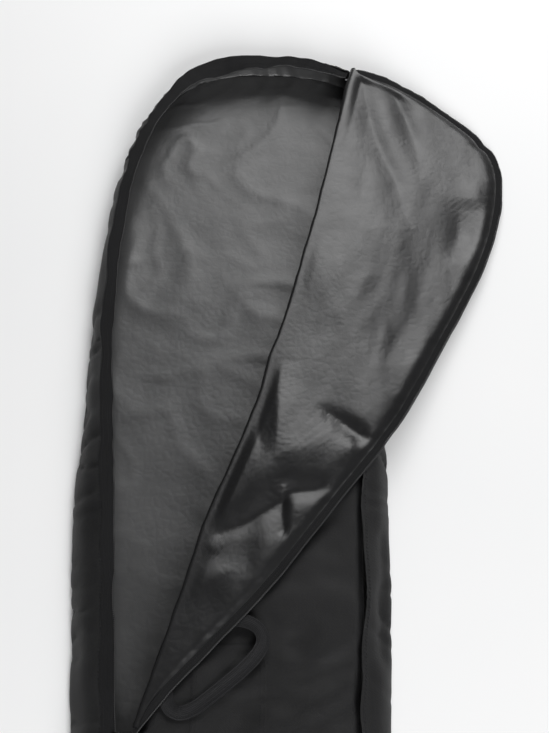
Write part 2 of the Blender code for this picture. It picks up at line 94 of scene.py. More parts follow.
# How far the seam and the back lie inside the bag's plan, and the front panel inside the seam
SEAM_INSET = 0.0300
BACK_INSET = 0.0035
FRONT_INSET = 0.0014

# The seam is a curve through points this far apart, and is free of the zip beyond these Y
SEAM_SPACING = 0.06
SEAM_ZIP_START = -0.30
SEAM_ZIP_END = 0.66

# The coils' teeth, and the grip on the puller
COIL_PITCH = 0.0024
COIL_HEIGHT = 0.0022
GRIP_LENGTH = 0.0280
GRIP_WIDTH = 0.0100
GRIP_THICKNESS = 0.0032

# Heights at rest
WALL_TOP = 0.0490
TAPE_HEIGHT = 0.0500
PANEL_HEIGHT = 0.0466
COVER_HEIGHT = 0.0571
COVER_TAPE_HEIGHT = 0.0532
FOLD_FOOT_HEIGHT = 0.0480
HANDLE_HEIGHT = 0.0500
PATCH_HEIGHT = 0.0529
CHAIN_HEIGHT = 0.0499
BACK_HEIGHT = 0.0012
LINING_HEIGHT = 0.0030
FLOOR_GAP = 0.0030

# The nose end of the fixed front panel
FRONT_TOP = 0.742

# The front panel spans the bag's width as far as the chain's end, and from there begins beside the chain
FRONT_STEP = -0.268
CHAIN_SIDE_X = -0.1115

# Where the side walls meet
TAIL_JOIN = -0.70
LEFT_NOSE_JOIN = 0.62
RIGHT_NOSE_JOIN = 0.66

# The cover bends over the body's right edge
BEND_X = 0.168
BEND_ANGLE = math.radians(12.0)
BEND_SOFTNESS = 0.026
FOLD_CLEARANCE = 0.0040

# The cover's top corner stands up and out beyond its CAD solid
TOP_CORNER = (0.205, 0.770)
TOP_CORNER_SIZE = 0.105
TOP_CORNER_RISE = 0.0110
TOP_CORNER_REACH = 0.0240

# How far the rolled fold stands right of the hinge line, at shares along it. The roll begins a little
# up the line and is shorter than it.
FOLD_EDGE = [(0.00, 0.0005), (0.17, 0.0014), (0.25, -0.0005), (0.36, 0.0085), (0.43, 0.0125), (0.45, 0.0125),
             (0.50, 0.0085), (0.53, 0.0110), (0.60, 0.0105), (0.66, 0.0070), (0.74, 0.0045), (0.875, -0.0050),
             (0.97, -0.0100), (1.00, -0.0100)]
FOLD_ROLL = 0.0065
FOLD_INSET = 0.006
FOLD_SPARE = 0.008

# How far the cover's free edge stands out past the zip line, at distances from the slider
EDGE_BOW = [(0.00, -0.006), (0.06, -0.006), (0.114, 0.000), (0.162, 0.005), (0.204, 0.009), (0.245, 0.011),
            (0.45, 0.011), (0.515, 0.007), (0.575, 0.001), (0.641, -0.005), (0.73, -0.008), (0.814, -0.008),
            (0.874, -0.006), (0.93, -0.004), (1.00, 0.000), (1.028, 0.002), (1.042, -0.002), (1.060, 0.002),
            (1.10, 0.003), (1.245, 0.002)]

# Where the cover's half of the zip ends, past the body's end at the right shoulder
COVER_ZIP_END = (0.1790, 0.7535)

# Carry handle: its centre line as (along the zip, out past the zip)
HANDLE_PATH = [(0.096, -0.028), (0.076, -0.024), (0.058, -0.014), (0.046, 0.000), (0.047, 0.014),
               (0.060, 0.024), (0.084, 0.031), (0.108, 0.037), (0.130, 0.0415), (0.150, 0.0435),
               (0.166, 0.041), (0.1755, 0.031), (0.177, 0.018), (0.172, 0.003), (0.163, -0.012),
               (0.152, -0.026)]
HANDLE_WIDTH = 0.016
PATCH_ALONG = {"lower": (0.084, 0.108), "upper": (0.140, 0.164)}
PATCH_OUT = (-0.0365, -0.0200)

# Thickness of the cloth and of the zip's tape
CLOTH = 0.0011
TAPE_CLOTH = 0.0007


# ---------------------------------------------------------------- plan curves

def lengths(points):
    """Distance along a polyline at each of its points."""
    legs = np.linalg.norm(np.diff(points, axis=0), axis=1)
    return np.concatenate([[0.0], np.cumsum(legs)])


def unit(vectors):
    """Vectors along the last axis, made one long."""
    return vectors / np.maximum(np.linalg.norm(vectors, axis=-1, keepdims=True), 1e-12)


def sampled(values, along, wanted):
    """Rows of values that stand at distances along a curve, read at other distances."""
    return np.stack([np.interp(wanted, along, column) for column in values.T], axis=1)


def resample(points, count):
    """The same polyline with evenly spaced points."""
    points = np.asarray(points, float)
    along = lengths(points)
    return sampled(points, along, np.linspace(0.0, along[-1], count))


def spaced(points, step):
    """The same polyline with points about one step apart."""
    return resample(points, max(2, round(lengths(np.asarray(points, float))[-1] / step) + 1))


def smooth(points, closed=False, per_leg=12):
    """Catmull-Rom curve through the points."""
    points = np.array(points, float)
    if closed:
        padded = np.vstack([points[-1], points, points[:2]])
    else:
        padded = np.vstack([2 * points[0] - points[1], points, 2 * points[-1] - points[-2]])
    curve = []
    for p0, p1, p2, p3 in zip(padded, padded[1:], padded[2:], padded[3:]):
        for t in np.arange(per_leg) / per_leg:
            curve.append(0.5 * (2 * p1 + (p2 - p0) * t + (2 * p0 - 5 * p1 + 4 * p2 - p3) * t ** 2
                                + (3 * p1 - p0 - 3 * p2 + p3) * t ** 3))
    curve.append(padded[-2])
    return np.array(curve)


def normals(points, closed=False):
    """Unit vectors to the left of the direction of travel."""
    if closed:
        ahead = np.roll(points, -1, axis=0) - np.roll(points, 1, axis=0)
    else:
        ahead = np.gradient(points, axis=0)
    return unit(np.stack([-ahead[:, 1], ahead[:, 0]], axis=1))


def shifted(points, distance, closed=False):
    """Parallel curve: positive is to the left of the direction of travel."""
    return points + np.reshape(distance, (-1, 1)) * normals(points, closed)


def stretch(points, keep):
    """The longest run of the polyline where keep(points) is above zero, cut exactly at its ends."""
    value = keep(points)
    inside = np.flatnonzero(value > 0)
    first, last = max(np.split(inside, np.flatnonzero(np.diff(inside) > 1) + 1), key=len)[[0, -1]]

    def crossing(inner, outer):
        share = value[inner] / (value[inner] - value[outer])
        return [points[inner] + share * (points[outer] - points[inner])]

    before = crossing(first, first - 1) if first > 0 else []
    after = crossing(last, last + 1) if last < len(points) - 1 else []
    return np.array([*before, *points[first:last + 1], *after])


def between(start, end, share):
    """Grid of plan points between two curves with as many points, at shares of the way."""
    return start[:, None] * (1 - share[..., None]) + end[:, None] * share[..., None]


def raised(plan, height):
    """Plan points with a height each."""
    return np.concatenate([plan, np.broadcast_to(height, plan.shape[:-1])[..., None]], axis=-1)


ZIP_ORIGIN = np.array(ZIP_START)
ZIP_DIRECTION = unit(np.array(ZIP_STRAIGHT_END) - ZIP_ORIGIN)
ZIP_OUTWARD = np.array([-ZIP_DIRECTION[1], ZIP_DIRECTION[0]])
FOLD_ORIGIN = np.array(FOLD_FOOT)
FOLD_LENGTH = float(np.linalg.norm(np.array(FOLD_TOP) - FOLD_ORIGIN))
FOLD_DIRECTION = (np.array(FOLD_TOP) - FOLD_ORIGIN) / FOLD_LENGTH
FOLD_RIGHT = np.array([FOLD_DIRECTION[1], -FOLD_DIRECTION[0]])


def zip_line():
    """Where the two halves of the zip meet, from the slider to the right shoulder."""
    straight_end = np.array(ZIP_STRAIGHT_END)
    lead_in = straight_end - 0.15 * ZIP_DIRECTION
    bends = smooth([lead_in, straight_end] + ZIP_BENDS)
    bends = stretch(bends, lambda points: (points - straight_end) @ ZIP_DIRECTION + 1e-6)
    return spaced(np.vstack([ZIP_ORIGIN, bends]), 0.006)


def beside_zip(points):
    """Plan points from pairs of a distance along the zip's straight part and a distance out past it."""
    points = np.asarray(points, float)
    return ZIP_ORIGIN + points[..., :1] * ZIP_DIRECTION + points[..., 1:] * ZIP_OUTWARD


def right_of_fold(points):
    """Distance to the right of the fold line."""
    return (points - FOLD_ORIGIN) @ FOLD_RIGHT


def turned_over(points):
    """Where plan points of the closed cover lie when it is folded back."""
    return points - 2 * right_of_fold(points)[..., None] * FOLD_RIGHT


def seam_line(body, zip_curve):
    """Upper edge of the side walls: along the zip tape, and inset from the body elsewhere."""
    along_zip = spaced(shifted(zip_curve, BODY_TAPE_OUTER), SEAM_SPACING)
    inset = shifted(body, -SEAM_INSET, closed=True)
    right_side = inset[(inset[:, 0] > 0) & (inset[:, 1] < SEAM_ZIP_END)]
    tail_and_left = inset[(inset[:, 0] <= 0) & (inset[:, 1] < SEAM_ZIP_START)]
    first_left = np.diff(lengths(tail_and_left)).argmax() + 1
    rest = spaced(np.vstack([right_side, np.roll(tail_and_left, -first_left, axis=0)]), SEAM_SPACING)
    return smooth(np.vstack([along_zip, rest]), closed=True, per_leg=10)[:-1]


def nearest(curve, points):
    """For each point, the closest point of a curve."""
    dense = spaced(curve, 0.0010)
    return dense[np.linalg.norm(points[:, None] - dense, axis=2).argmin(axis=1)]


# ---------------------------------------------------------------- noise

GRADIENTS = 64


def noise(x, y, seed):
    """Smooth gradient noise, about -1 to 1, with features one unit across."""
    angle = np.random.default_rng(seed).random((GRADIENTS, GRADIENTS)) * 2 * math.pi
    column = np.floor(x).astype(int)
    row = np.floor(y).astype(int)
    fx = x - column
    fy = y - row

    def corner(right, up):
        turn = angle[(row + up) % GRADIENTS, (column + right) % GRADIENTS]
        return np.cos(turn) * (fx - right) + np.sin(turn) * (fy - up)

    ease_x = fx ** 3 * (fx * (fx * 6 - 15) + 10)
    ease_y = fy ** 3 * (fy * (fy * 6 - 15) + 10)
    lower = corner(0, 0) * (1 - ease_x) + corner(1, 0) * ease_x
    upper = corner(0, 1) * (1 - ease_x) + corner(1, 1) * ease_x
    return 1.5 * (lower * (1 - ease_y) + upper * ease_y)


def ripples(x, y, size, seed, octaves=3, stretch_by=(1.0, 1.0), turn=0.0):
    """Layered noise whose largest features are size across, drawn out along a turned axis."""
    across = (x * math.cos(turn) + y * math.sin(turn)) / (size * stretch_by[0])
    along = (-x * math.sin(turn) + y * math.cos(turn)) / (size * stretch_by[1])
    total = np.zeros(np.shape(x))
    for octave in range(octaves):
        total += noise(across * 2 ** octave + 7.3 * octave, along * 2 ** octave, seed + octave) / 2 ** octave
    return total


def bell(distance, width):
    """1 at no distance, fading to 0 beyond the width."""
    return np.exp(-(distance / width) ** 2)


def creases(x, y, size, seed, sharpness, stretch_by, turn=0.0):
    """Thin raised lines with soft faces between them, 0 to 1, as cloth has after it was folded."""
    bend_x = x + 0.35 * size * noise(x / size, y / size, seed + 50)
    bend_y = y + 0.35 * size * noise(x / size + 5.0, y / size, seed + 51)
    field = ripples(bend_x, bend_y, size, seed, 1, stretch_by, turn)
    fade = np.clip(0.5 + 0.8 * noise(x / (2.2 * size), y / (2.2 * size), seed + 52), 0, 1)
    return np.exp(-sharpness * np.abs(field)) * fade


def near_path(x, y, path):
    """Signed distance to the left of a smooth path, and the share of the path at the closest point."""
    curve = spaced(smooth(path), 0.004)
    ahead = unit(np.gradient(curve, axis=0))
    flat = np.stack([np.ravel(x), np.ravel(y)], axis=1)
    away = flat[:, None] - curve[None]
    index = (away ** 2).sum(axis=2).argmin(axis=1)
    offset = away[np.arange(len(flat)), index]
    left = ahead[index, 0] * offset[:, 1] - ahead[index, 1] * offset[:, 0]
    distance = np.linalg.norm(offset, axis=1) * np.where(left < 0, -1.0, 1.0)
    share = index / (len(curve) - 1)
    return distance.reshape(np.shape(x)), share.reshape(np.shape(x))


def fold_mark(x, y, path, height, left_width, right_width):
    """A soft ridge, or with a negative height a valley, along a path, with its own slope on each side."""
    distance, share = near_path(x, y, path)
    width = np.where(distance > 0, left_width, right_width)
    taper = np.sin(math.pi * np.clip(share, 0.0, 1.0)) ** 1.1
    return height * taper * np.exp(-(np.abs(distance) / width) ** 1.6)


def fold_marks(x, y, marks):
    """All folds of a list together, each a path, a height, and its spread to the left and to the right."""
    return sum(fold_mark(x, y, *mark) for mark in marks)


# ---------------------------------------------------------------- meshes

def linked(name, data):
    """A new object with this data, in the scene."""
    made = bpy.data.objects.new(name, data)
    bpy.context.scene.collection.objects.link(made)
    return made


def mesh_object(name, points, faces, materials, face_materials=None, flat_faces=None, cloth=None):
    """Smooth-shaded mesh object from arrays."""
    data = bpy.data.meshes.new(name)
    data.from_pydata([tuple(map(float, point)) for point in points], [], [tuple(map(int, f)) for f in faces])
    for finish in materials:
        data.materials.append(finish)
    shading = np.ones(len(faces), bool)
    if flat_faces is not None:
        shading[flat_faces] = False
    data.polygons.foreach_set("use_smooth", shading)
    if face_materials is not None:
        data.polygons.foreach_set("material_index", np.asarray(face_materials, np.int32))
    if cloth is not None:
        layer = data.attributes.new("cloth", "FLOAT_VECTOR", "POINT")
        layer.data.foreach_set("vector", np.asarray(cloth, np.float32).ravel())
    data.update()
    return linked(name, data)


def grid_normals(middle, face_to):
    """Unit normals of a grid of points, to the same side as face_to, and if they were turned for it."""
    across = unit(np.cross(np.gradient(middle, axis=0), np.gradient(middle, axis=1)))
    turned = (across * face_to).sum() < 0
    return (-across if turned else across), turned


def cloth_sheet(name, middle, face, back, thickness=CLOTH, face_to=(0, 0, 1), flat=None):
    """Closed thin sheet of cloth around a grid of points, with a face and a back of its own materials."""
    rows, columns = middle.shape[:2]
    normal, turned = grid_normals(middle, np.array(face_to, float))
    count = rows * columns
    points = np.vstack([(middle + normal * thickness / 2).reshape(-1, 3),
                        (middle - normal * thickness / 2).reshape(-1, 3)])
    index = np.arange(count).reshape(rows, columns)
    front = np.stack([index[:-1, :-1], index[1:, :-1], index[1:, 1:], index[:-1, 1:]], axis=2).reshape(-1, 4)
    rim_line = np.concatenate([index[0, :-1], index[:-1, -1], index[-1, :0:-1], index[:0:-1, 0]])
    following = np.roll(rim_line, -1)
    rim = np.stack([rim_line, following, following + count, rim_line + count], axis=1)
    if turned:
        front = front[:, ::-1]
        rim = rim[:, ::-1]
    faces = np.vstack([front, front[:, ::-1] + count, rim])
    face_materials = np.repeat([0, 1, 1], [len(front), len(front), len(rim)])
    flat_faces = np.arange(2 * len(front), len(faces))
    if flat is None:
        flat = flat_lengths(middle)
    cloth = np.tile(raised(flat.reshape(-1, 2), 0.0), (2, 1))
    made = mesh_object(name, points, faces, [face, back], face_materials, flat_faces, cloth)
    made.data.set_sharp_from_angle(angle=math.radians(60))
    return made


def flat_lengths(middle):
    """Distance along the rows and columns of a grid, for the weave."""
    down = np.zeros(middle.shape[:2])
    across = np.zeros(middle.shape[:2])
    down[1:] = np.cumsum(np.linalg.norm(np.diff(middle, axis=0), axis=2), axis=0)
    across[:, 1:] = np.cumsum(np.linalg.norm(np.diff(middle, axis=1), axis=2), axis=1)
    centre = across[:, across.shape[1] // 2][:, None]
    return np.stack([across - centre, down], axis=2)


def path_frames(path, up):
    """Tangent, side and up vectors along a 3D path."""
    ahead = unit(np.gradient(path, axis=0))
    side = unit(np.cross(ahead, np.broadcast_to(np.asarray(up, float), path.shape)))
    return ahead, side, np.cross(side, ahead)


def ring_faces(rings, sides):
    """Faces between rings of points that follow each other, with both ends closed."""
    index = np.arange(rings * sides).reshape(rings, sides)
    ahead = np.roll(index, -1, axis=1)
    quads = np.stack([index[:-1], ahead[:-1], ahead[1:], index[1:]], axis=2).reshape(-1, 4)
    return [*map(tuple, quads), tuple(index[0][::-1]), tuple(index[-1])]


def tube(name, path, up, width, height, finish, sides=6, squareness=1.0):
    """Closed tube of elliptical section along a path. Width and height may vary along it."""
    _, side, over = path_frames(path, up)
    width = np.broadcast_to(width, len(path))
    height = np.broadcast_to(height, len(path))
    turn = np.arange(sides) * 2 * math.pi / sides + math.pi / sides
    across = np.sign(np.cos(turn)) * np.abs(np.cos(turn)) ** squareness / 2
    upward = np.sign(np.sin(turn)) * np.abs(np.sin(turn)) ** squareness / 2
    rings = (path[:, None] + side[:, None] * (across[None] * width[:, None])[..., None]
             + over[:, None] * (upward[None] * height[:, None])[..., None])
    along = np.repeat(lengths(path), sides)
    cloth = np.stack([np.tile(across, len(path)) * np.repeat(width, sides), along, 0 * along], axis=1)
    faces = ring_faces(len(path), sides)
    return outward(mesh_object(name, rings.reshape(-1, 3), faces, [finish], cloth=cloth))


def outward(made):
    """The object with its faces turned out."""
    work = bmesh.new()
    work.from_mesh(made.data)
    bmesh.ops.recalc_face_normals(work, faces=work.faces)
    work.to_mesh(made.data)
    work.free()
    return made


def stitches(name, rows, finish, pitch=0.0034, length=0.0026, radius=0.00034):
    """Rows of thread: short spindles that dip into the cloth at both ends. rows is (path, up) pairs."""
    sides = 6
    shape = [(-0.5, 0.25, -0.9), (-0.28, 1.0, 0.0), (0.28, 1.0, 0.0), (0.5, 0.25, -0.9)]
    turn = np.arange(sides) * 2 * math.pi / sides
    circle = np.column_stack([np.cos(turn), np.sin(turn)])
    spindle = ring_faces(len(shape), sides)
    points = []
    faces = []
    count = 0
    for path, up in rows:
        distance = lengths(path)
        wanted = np.arange(pitch / 2, distance[-1] - pitch / 2, pitch)
        place = sampled(path, distance, wanted)
        level = sampled(np.broadcast_to(np.asarray(up, float), path.shape), distance, wanted)
        ahead, side, over = path_frames(place, level)
        for centre, along, across, rise in zip(place, ahead, side, over):
            for offset, swell, sink in shape:
                middle = centre + along * offset * length + rise * sink * radius
                points.append(middle + swell * radius * (circle[:, :1] * across + circle[:, 1:] * rise))
            faces += [tuple(count + corner for corner in face) for face in spindle]
            count += len(shape) * sides
    return outward(mesh_object(name, np.vstack(points), faces, [finish]))


def label(piece, slot, *nodes):
    """Hides the CAD nodes that the piece replaces. The piece and the slot are not used."""
    if nodes:
        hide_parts(*nodes)


def attach(piece, body, slot, *nodes):
    """The piece rides on a body, and the CAD nodes that it replaces are hidden. The slot is not used."""
    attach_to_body(piece, body)
    label(piece, slot, *nodes)


# ---------------------------------------------------------------- materials

class Nodes:
    """Short way of building a material's node tree."""

    def __init__(self, name):
        self.material = bpy.data.materials.new(name)
        self.material.use_nodes = True
        self.tree = self.material.node_tree
        self.shader = self.tree.nodes["Principled BSDF"]

    def add(self, kind, links=(), operation=None, **values):
        """A node with constants and links given by input name or number."""
        node = self.tree.nodes.new(kind)
        if operation:
            node.operation = operation
        for key, value in values.items():
            setattr(node, key, value)
        for socket, source in links:
            if isinstance(source, bpy.types.NodeSocket):
                self.tree.links.new(source, node.inputs[socket])
            else:
                node.inputs[socket].default_value = source
        return node

    def maths(self, operation, *sources):
        """Result of a Math node."""
        return self.add("ShaderNodeMath", list(enumerate(sources)), operation).outputs[0]

    def total(self, *terms):
        """Sum of sources, each given with its factor."""
        scaled = [self.maths("MULTIPLY", source, factor) for source, factor in terms]
        result = scaled[0]
        for term in scaled[1:]:
            result = self.maths("ADD", result, term)
        return result

    def waves(self, source, size):
        """Sine of a place in metres, with waves of a size."""
        return self.maths("SINE", self.maths("MULTIPLY", source, 2 * math.pi / size))

    def place(self):
        """The cloth's own coordinates, in metres."""
        return self.add("ShaderNodeAttribute", attribute_name="cloth").outputs["Vector"]

    def object_place(self):
        """The object's own coordinates, in metres."""
        return self.add("ShaderNodeTexCoord").outputs["Object"]

    def noise(self, place, scale, detail=3.0, roughness=0.55):
        """Noise from 0 to 1."""
        links = [("Vector", place), ("Scale", scale), ("Detail", detail), ("Roughness", roughness)]
        return self.add("ShaderNodeTexNoise", links).outputs["Fac"]

    def ramp(self, source, low, high, start=0.0, stop=1.0):
        """Source between start and stop mapped to low and high."""
        links = [("Value", source), ("From Min", start), ("From Max", stop)]
        return self.add("ShaderNodeMapRange", links + [("To Min", low), ("To Max", high)]).outputs["Result"]

    def colours(self, source, low, high, start=0.0, stop=1.0):
        """Source between start and stop mapped from one colour to another."""
        node = self.add("ShaderNodeValToRGB", [("Fac", source)])
        for element, position, colour in zip(node.color_ramp.elements, (start, stop), (low, high)):
            element.position = position
            element.color = (*colour, 1.0)
        return node.outputs["Color"]

    def bump(self, height, distance, strength=1.0, below=None):
        """Bump from a height in -1 to 1 that stands for a distance in metres."""
        links = [("Height", height), ("Distance", distance), ("Strength", strength)]
        if below is not None:
            links.append(("Normal", below))
        return self.add("ShaderNodeBump", links).outputs["Normal"]

    def finish(self, colour=None, roughness=None, normal=None, **constants):
        """Connects the shader and sets its constant values."""
        for socket, source in (("Base Color", colour), ("Roughness", roughness), ("Normal", normal)):
            if isinstance(source, bpy.types.NodeSocket):
                self.tree.links.new(source, self.shader.inputs[socket])
            elif source is not None:
                self.shader.inputs[socket].default_value = source
        for key, value in constants.items():
            self.shader.inputs[key.replace("_", " ")].default_value = value
        return self.material


def plain_weave(nodes, place, pitch):
    """Height of a plain weave: yarns that pass over and under each other."""
    split = nodes.add("ShaderNodeSeparateXYZ", [(0, place)])
    warp = nodes.maths("MULTIPLY", split.outputs[0], math.pi / pitch)
    weft = nodes.maths("MULTIPLY", split.outputs[1], math.pi / pitch)
    over = nodes.maths("MULTIPLY", nodes.maths("SINE", warp), nodes.maths("SINE", weft))
    ribs = nodes.maths("ABSOLUTE", nodes.maths("COSINE", warp))
    cross_ribs = nodes.maths("ABSOLUTE", nodes.maths("COSINE", weft))
    return nodes.total((over, 0.6), (ribs, -0.5), (cross_ribs, -0.5))


def woven_fabric():
    """Outer face: matte black woven polyester with slubs, lint and a little wear."""
    nodes = Nodes("shell_fabric_woven")
    place = nodes.place()
    weave = plain_weave(nodes, place, 0.0009)
    slubs = nodes.noise(place, 420.0, 3.0, 0.7)
    patches = nodes.noise(place, 9.0, 4.0)
    tone = nodes.total((slubs, 0.75), (patches, 0.25))
    colour = nodes.colours(tone, (0.0022, 0.0022, 0.0025), (0.0085, 0.0085, 0.0092), 0.30, 0.72)
    roughness = nodes.ramp(patches, 0.46, 0.60, 0.25, 0.75)
    normal = nodes.bump(nodes.total((weave, 1.0), (slubs, 1.6)), 0.00022, 0.7)
    return nodes.finish(colour, roughness, normal, Specular_IOR_Level=0.34)


def coated_lining(name, low, high, gloss):
    """Inner face: dark grey coating with a satin sheen and fine crumple lines."""
    nodes = Nodes(name)
    place = nodes.place()
    grain = nodes.noise(place, 900.0, 2.0, 0.6)
    links = [("Vector", place), ("Scale", 85.0)]
    crumple = nodes.add("ShaderNodeTexVoronoi", links, feature="DISTANCE_TO_EDGE").outputs["Distance"]
    soft = nodes.noise(place, 38.0, 4.0, 0.6)
    patches = nodes.noise(place, 6.0, 3.0)
    colour = nodes.colours(patches, low, high, 0.25, 0.75)
    roughness = nodes.ramp(soft, 0.30, 0.40, 0.25, 0.75)
    rough = nodes.bump(nodes.total((grain, 1.0), (plain_weave(nodes, place, 0.0011), 1.0)), 0.00010, 0.5)
    crumpled = nodes.bump(nodes.ramp(crumple, 0.0, 1.0, 0.0, 0.35), 0.00022, 0.45, rough)
    normal = nodes.bump(soft, 0.0010, 0.45, crumpled)
    return nodes.finish(colour, roughness, normal, Specular_IOR_Level=gloss)


def shade(colour, factor):
    """A lighter or darker tone of a colour."""
    return tuple(factor * value for value in colour)


def knitted_tape(name, colour):
    """Knitted tape: fine ribs along its length, with slanted stitches between them."""
    nodes = Nodes(name)
    place = nodes.place()
    split = nodes.add("ShaderNodeSeparateXYZ", [(0, place)])
    ribs = nodes.waves(split.outputs[0], 0.0012)
    slant = nodes.total((split.outputs[1], 2 * math.pi / 0.0009), (ribs, 0.8))
    height = nodes.total((ribs, 1.0), (nodes.maths("SINE", slant), 0.5))
    fuzz = nodes.noise(place, 700.0, 2.0, 0.7)
    return nodes.finish(nodes.colours(fuzz, shade(colour, 0.6), shade(colour, 2.0), 0.3, 0.7),
                        nodes.ramp(fuzz, 0.7, 0.9, 0.3, 0.7),
                        nodes.bump(height, 0.00015, 0.8), Sheen_Weight=0.01, Sheen_Roughness=0.5,
                        Specular_IOR_Level=0.18)


def ribbed_webbing():
    """Handle webbing: chevron ribs across its width."""
    nodes = Nodes("webbing_ribbed")
    place = nodes.place()
    split = nodes.add("ShaderNodeSeparateXYZ", [(0, place)])
    slant = nodes.maths("ADD", split.outputs[1], nodes.maths("ABSOLUTE", split.outputs[0]))
    height = nodes.total((nodes.waves(slant, 0.0018), 0.8), (nodes.waves(split.outputs[0], 0.0020), 0.7))
    fuzz = nodes.noise(place, 500.0, 3.0, 0.7)
    tone = nodes.total((fuzz, 1.0), (height, 0.06))
    return nodes.finish(nodes.colours(tone, (0.004, 0.004, 0.0045), (0.022, 0.022, 0.024), 0.25, 0.75),
                        nodes.ramp(fuzz, 0.62, 0.84, 0.3, 0.7), nodes.bump(height, 0.00028, 0.9),
                        Sheen_Weight=0.03, Sheen_Roughness=0.45, Specular_IOR_Level=0.25)


def nylon(name, colour, roughness):
    """Moulded nylon with faint flow marks."""
    nodes = Nodes(name)
    place = nodes.object_place()
    marks = nodes.noise(place, 800.0, 3.0)
    return nodes.finish(nodes.colours(marks, shade(colour, 0.7), shade(colour, 1.5), 0.3, 0.7),
                        nodes.ramp(marks, roughness - 0.08, roughness + 0.1, 0.3, 0.7),
                        nodes.bump(marks, 0.00004, 0.6), Specular_IOR_Level=0.5)


def thread():
    """Twisted polyester thread."""
    nodes = Nodes("thread_black")
    place = nodes.object_place()
    links = [("Vector", place), ("Scale", 900.0), ("Distortion", 2.0)]
    twist = nodes.add("ShaderNodeTexWave", links).outputs["Fac"]
    return nodes.finish(nodes.colours(twist, (0.0045, 0.0045, 0.0050), (0.0150, 0.0150, 0.0160), 0.2, 0.9),
                        0.72, nodes.bump(twist, 0.00005, 0.6), Specular_IOR_Level=0.25)


def black_metal():
    """Black painted zinc with fine scuffs that show the metal."""
    nodes = Nodes("hardware_painted")
    place = nodes.object_place()
    scuffs = nodes.noise(place, 260.0, 6.0, 0.75)
    dust = nodes.noise(place, 1500.0, 2.0)
    worn = nodes.ramp(scuffs, 0.0, 1.0, 0.66, 0.74)
    colour = nodes.colours(worn, (0.012, 0.012, 0.013), (0.16, 0.16, 0.165), 0.0, 1.0)
    return nodes.finish(colour, nodes.ramp(scuffs, 0.26, 0.46, 0.3, 0.7), nodes.bump(dust, 0.00003, 0.5),
                        Metallic=0.75, Coat_Weight=0.25, Coat_Roughness=0.2)


def moulded_rubber():
    """Soft black rubber with a fine grain."""
    nodes = Nodes("grip_rubber")
    place = nodes.object_place()
    grain = nodes.noise(place, 1400.0, 3.0)
    return nodes.finish(nodes.colours(grain, (0.008, 0.008, 0.008), (0.022, 0.022, 0.022), 0.3, 0.7),
                        nodes.ramp(grain, 0.48, 0.66, 0.3, 0.7), nodes.bump(grain, 0.00008, 0.7))


FABRIC = woven_fabric()
LINING = coated_lining("lining_coated", (0.0040, 0.0040, 0.0044), (0.0080, 0.0080, 0.0087), 0.62)
# The inside lining is the cover's coated lining painted far lighter: painted light that stands in for light
# in the bag's shaded inside.
INSIDE_LINING_PAINTED_LIGHT = coated_lining("lining_inside_painted_light", (0.0450, 0.0455, 0.0460), (0.0680, 0.0680, 0.0690), 0.42)
TAPE = knitted_tape("zip_tape_knit", (0.0075, 0.0075, 0.0080))
BINDING = knitted_tape("binding_tape", (0.008, 0.008, 0.0085))
WEBBING = ribbed_webbing()
COIL = nylon("zip_coil_nylon", (0.009, 0.009, 0.0095), 0.40)
THREAD = thread()
METAL = black_metal()
RUBBER = moulded_rubber()


# ---------------------------------------------------------------- the walls

ZIP_CURVE = zip_line()
BODY_LINE = smooth(BODY_PLAN, closed=True)
WALL_STEP = 0.0055
WALL_LOWEST = 0.0008


def wave(along, seed, size, height):
    """Gentle waves along an edge."""
    return height * ripples(along, 0 * along + 0.37 * seed, size, seed, 3)


def nose_share(points):
    """0 along the straight sides and 1 round the nose."""
    return np.clip((points[:, 1] - 0.56) / 0.14, 0.0, 1.0)


def wall_ring():
    """Plan of the walls' upper and lower edges round the whole bag. The last point is the first again."""
    seam = seam_line(BODY_LINE[:-1], ZIP_CURVE)
    seam = spaced(np.vstack([seam, seam[:1]]), WALL_STEP)
    foot = nearest(BODY_LINE, seam)
    for _ in range(6):
        foot[:-1] = (np.roll(foot[:-1], 1, axis=0) + 2 * foot[:-1] + np.roll(foot[:-1], -1, axis=0)) / 4
        foot[-1] = foot[0]
    return seam, foot


def edge_waves(points):
    """How far the walls' upper edge wanders sideways and up, at plan points on it."""
    x, y = points[:, 0], points[:, 1]
    nose = nose_share(points)
    sideways = 0.0044 * ripples(x, y, 0.085 - 0.025 * nose, 11, 2)
    upward = (0.0006 + 0.0030 * nose) * ripples(x, y, 0.060, 17, 3)
    return sideways, upward + 0.007 * bell(np.hypot(x - 0.120, y - 0.800), 0.060)


def across_seam(seam, lean):
    """Unit vectors across the seam, to the side that lean points to."""
    out = normals(seam)
    return np.where(((out * lean).sum(axis=1) < 0)[:, None], -out, out)


def wall_section(seam, foot):
    """Mid-surface of the walls without wrinkles, from under the bag up to the seam."""
    lean = foot - seam
    width = np.linalg.norm(lean, axis=1)
    upright = np.clip(1 - width / 0.012, 0, 1)[:, None]
    direction = unit((1 - upright) * unit(lean) + upright * across_seam(seam, lean))
    bulge = 0.0035 + wave(lengths(seam), 5, 0.16, 0.0016)
    spread = 0.0040 / (1 + np.exp((np.abs(seam[:, 1] - 0.25) - 0.48) / 0.03))
    section = [(width - 0.010, 0.0010), (width - 0.0025, 0.0011), (width + spread, 0.0060),
               (0.74 * width + spread + bulge, 0.0180), (0.40 * width + spread + 1.1 * bulge, 0.0320),
               (0.08 * width + 0.6 * bulge, 0.0440), (-0.0010, WALL_TOP)]
    corners_2d = np.array([np.stack([np.broadcast_to(reach, len(seam)), np.full(len(seam), rise)], axis=1)
                           for reach, rise in section])
    curve = smooth(corners_2d.reshape(len(section), -1), per_leg=4).reshape(-1, len(seam), 2)
    share = np.linspace(0.0, 1.0, len(curve))[:, None]
    lift = np.clip((share - 0.45) / 0.55, 0, 1) ** 1.5
    sideways, upward = edge_waves(seam)
    plan = seam[None] + direction[None] * (curve[..., 0] + lift * sideways)[..., None]
    return raised(plan, curve[..., 1] + lift * upward), share, direction


